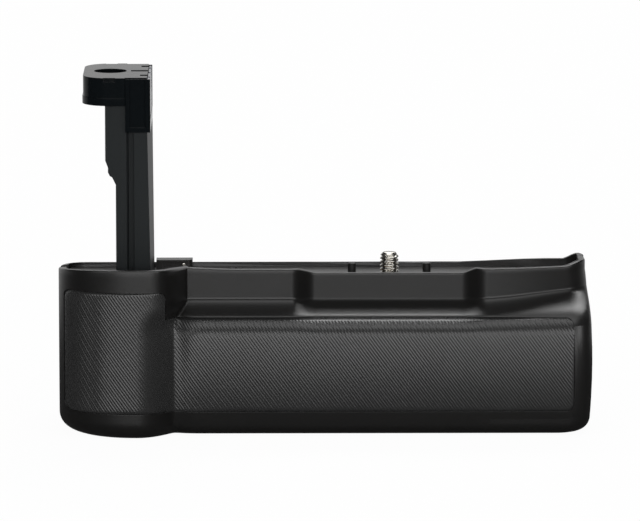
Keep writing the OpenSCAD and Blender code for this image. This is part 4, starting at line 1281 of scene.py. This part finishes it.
@dataclass
class Studio:
    """White studio with soft lamps and a camera at the photo's angle."""

    distance: float = 2000.0
    elevation: float = 9.4
    yaw: float = 0.5
    pixel: float = 0.341
    target: tuple[float, float, float] = (-23.6, 0.0, 54.7)
    floor_drop: float = 0.2
    floor_half: float = 3.0
    floor_white: float = 0.96
    ambient: float = 0.2
    room_glow: float = 0.05
    sweep_glow: float = 0.7
    strip_near: float = 0.1
    strip_far: float = 0.38
    strip_left: float = 0.1
    strip_right: float = 0.04
    strip_fade: float = 0.16
    near_fade: float = 0.07
    far_fade: float = 0.06
    strip_glow: float = 0.82

    def camera(self) -> None:
        """Places the camera."""
        width = IMAGE_SIZE[0]
        data = bpy.data.cameras.new("photo_camera")
        data.sensor_width = 36.0
        data.lens = data.sensor_width * self.distance / self.pixel / width
        data.clip_end = 20.0
        data.clip_start = 0.05
        e, a = math.radians(self.elevation), math.radians(self.yaw)
        forward = Vector((math.sin(a) * math.cos(e), math.cos(a) * math.cos(e), -math.sin(e)))
        made = bpy.data.objects.new("photo_camera", data)
        made.location = (Vector(self.target) - forward * self.distance) * MM
        made.rotation_mode = "QUATERNION"
        made.rotation_quaternion = forward.to_track_quat("-Z", "Y")
        bpy.context.scene.collection.objects.link(made)
        bpy.context.scene.camera = made

    def fenced(
        self,
        tree: bpy.types.NodeTree,
        level: float,
        edges: Sequence[tuple[bpy.types.NodeSocket, float, float]],
    ) -> bpy.types.NodeSocket:
        """Level that fades to nothing outside soft edges.

        Args:
            tree: Tree to add to.
            level: Level inside all the edges.
            edges: For each edge a coordinate, where the level is nothing and where it is whole.

        Returns:
            Socket of the level.
        """
        inside: Any = level
        for value, nothing, whole in edges:
            inside = add_node(
                tree, "ShaderNodeMapRange", {"interpolation_type": "SMOOTHSTEP"},
                {"Value": value, "From Min": nothing, "From Max": whole, "To Min": 0.0, "To Max": inside},
            ).outputs["Result"]
        return inside

    def by_ray(
        self, tree: bpy.types.NodeTree, seen: float, mirrored: bpy.types.NodeSocket, lighting: float
    ) -> bpy.types.NodeSocket:
        """Value that depends on which kind of ray asks.

        Args:
            tree: Tree to add to.
            seen: Value for camera and transmitted rays.
            mirrored: Value for glossy rays.
            lighting: Value for all other rays.

        Returns:
            Socket of the chosen value.
        """
        path = add_node(tree, "ShaderNodeLightPath").outputs
        direct = add_node(
            tree, "ShaderNodeMath", {"operation": "MAXIMUM"},
            {0: path["Is Camera Ray"], 1: path["Is Transmission Ray"]},
        ).outputs[0]
        other = add_node(
            tree, "ShaderNodeMix", inputs={"Factor": path["Is Glossy Ray"], "A": lighting, "B": mirrored}
        ).outputs["Result"]
        chosen = add_node(tree, "ShaderNodeMix", inputs={"Factor": direct, "A": other, "B": seen})
        return chosen.outputs["Result"]

    def world(self) -> None:
        """Gives a white backdrop, a dim room on the camera's side and a little light from all round."""
        world = bpy.data.worlds.new("white_studio")
        bpy.context.scene.world = world
        world.use_nodes = True
        tree = world.node_tree
        tree.nodes.clear()
        way = add_node(tree, "ShaderNodeTexCoord").outputs["Generated"]
        along = add_node(tree, "ShaderNodeSeparateXYZ", inputs={"Vector": way}).outputs
        sweep = self.fenced(tree, self.sweep_glow, [(along["Y"], 0.5, 0.9), (along["Z"], 0.45, 0.2)])
        mirrored = add_node(
            tree, "ShaderNodeMath", {"operation": "MAXIMUM"}, {0: sweep, 1: self.room_glow}
        ).outputs[0]
        strength = self.by_ray(tree, 1.0, mirrored, self.ambient)
        white = (1.0, 1.0, 1.0, 1.0)
        glow = add_node(tree, "ShaderNodeBackground", inputs={"Color": white, "Strength": strength})
        add_node(tree, "ShaderNodeOutputWorld", inputs={"Surface": glow.outputs["Background"]})

    def floor(self) -> None:
        """Lays a pale floor that keeps a faint shadow; reflections show its lit strip and the sweep."""
        data = bpy.data.meshes.new("studio_floor")
        half, level = self.floor_half, -self.floor_drop * MM
        data.from_pydata(
            [(-half, -half, level), (half, -half, level), (half, half, level), (-half, half, level)],
            [], [(0, 1, 2, 3)],
        )
        made = link("studio_floor", data)
        material = bpy.data.materials.new("floor_white")
        material.use_nodes = True
        tree = material.node_tree
        tree.nodes.clear()
        grain = add_node(tree, "ShaderNodeTexNoise", inputs={"Scale": 40.0})
        tint = add_node(
            tree, "ShaderNodeMix", {"data_type": "RGBA"},
            {"Factor": grain.outputs["Fac"], "A": (0.8, 0.8, 0.8, 1.0), "B": (0.82, 0.82, 0.82, 1.0)},
        )
        place = add_node(tree, "ShaderNodeTexCoord").outputs["Object"]
        along = add_node(tree, "ShaderNodeSeparateXYZ", inputs={"Vector": place}).outputs
        in_front = [
            (along["Y"], -self.strip_near, -self.strip_near - self.near_fade),
            (along["Y"], -self.strip_far - self.far_fade, -self.strip_far),
            (along["X"], -self.strip_left - self.strip_fade, -self.strip_left),
            (along["X"], self.strip_right + self.strip_fade, self.strip_right),
        ]
        strip = self.fenced(tree, self.strip_glow, in_front)
        sweep = self.fenced(tree, self.sweep_glow, [(along["Y"], 0.1, 0.35)])
        lit: Any = self.room_glow
        for patch in (strip, sweep):
            lit = add_node(tree, "ShaderNodeMath", {"operation": "MAXIMUM"}, {0: lit, 1: patch}).outputs[0]
        share = self.by_ray(tree, self.floor_white, lit, 0.0)
        matt = add_node(tree, "ShaderNodeBsdfDiffuse", inputs={"Color": tint.outputs["Result"]})
        white = (1.0, 1.0, 1.0, 1.0)
        glow, dark = (
            add_node(tree, "ShaderNodeEmission", inputs={"Color": white, "Strength": strength})
            for strength in (1.0, 0.0)
        )
        path = add_node(tree, "ShaderNodeLightPath").outputs
        ground = add_node(
            tree, "ShaderNodeMixShader",
            inputs={0: path["Is Glossy Ray"], 1: matt.outputs[0], 2: dark.outputs[0]},
        )
        shown = add_node(
            tree, "ShaderNodeMixShader", inputs={0: share, 1: ground.outputs[0], 2: glow.outputs[0]}
        )
        add_node(tree, "ShaderNodeOutputMaterial", inputs={"Surface": shown.outputs["Shader"]})
        made.data.materials.append(material)

    def build(self) -> None:
        """Sets up view, lamps, world and floor."""
        bpy.context.scene.view_settings.view_transform = "Standard"
        self.camera()
        self.world()
        self.floor()
        for lamp in LAMPS:
            lamp.build()


SOFT_EDGES = {
    Edge.SOFT: (
        "tower_left_half", "tower_right_half", "deck_plate", "tower_head", "door_stow_block",
        "latch_key",
    ),
    Edge.FINE: (
        "contact_clip", "contact_cover", "locating_pins", "thumb_wheel", "battery_tray",
        "tray_sleeve", "tripod_socket", "base_plate", "tower_contacts", "latch_tongue",
        "bay_contact_blocks", "bay_contacts", "main_board", "board_parts", "mount_bracket",
        "screw_bush", "wheel_clip", "deck_screws", "housing_screws", "base_screws", "tower_screws",
        "cap_screws", "door_stow_pin",
    ),
    Edge.NONE: (
        "rear_shell", "tray_end_cap",
    ),
}


@dataclass
class Grip:
    """The whole grip: pieces built here, and solids carried over with broken edges."""

    form: HousingForm
    wardrobe: Wardrobe

    def build(self) -> None:
        """Builds and dresses every piece."""
        outline = SkinOutline(self.form)
        shell = FrontShell(self.form, outline).build()
        self.place(shell, HOUSING, "front_shell")
        for piece in GripSkin(self.form, outline).build():
            self.place(piece, HOUSING, "front_grip_skin")
        self.place(CameraScrew().build(), SCREW_WHEEL, "mount_screw")
        homes = {n: b for b, ns in frame["record"]["behaviour"]["bodies"].items() for n in ns}
        done = {"front_shell", "front_grip_skin", "mount_screw"}
        for edge, nodes in SOFT_EDGES.items():
            for node in nodes:
                self.wardrobe.dress_node(Refined(node, homes[node], edge).build(), node)
                done.add(node)
        for node, piece in frame["nodes"].items():
            if node not in done:
                self.wardrobe.dress_node(piece, node)

    def place(self, piece: bpy.types.Object, body: str, node: str) -> None:
        """Lets a piece stand for a CAD node.

        Args:
            piece: Object built here.
            body: CAD body that it rides on.
            node: CAD node that it replaces.
        """
        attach(piece, body)
        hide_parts(node)
        self.wardrobe.dress_node(piece, node)


def save_sizes() -> None:
    """Updates the view layer after the build."""
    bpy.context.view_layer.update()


def main() -> None:
    """Builds the dressed grip in its studio."""
    logging.basicConfig(level=logging.INFO)
    Studio().build()
    Grip(HousingForm.from_frame(), Wardrobe()).build()
    save_sizes()


if __name__ == "__main__":
    main()
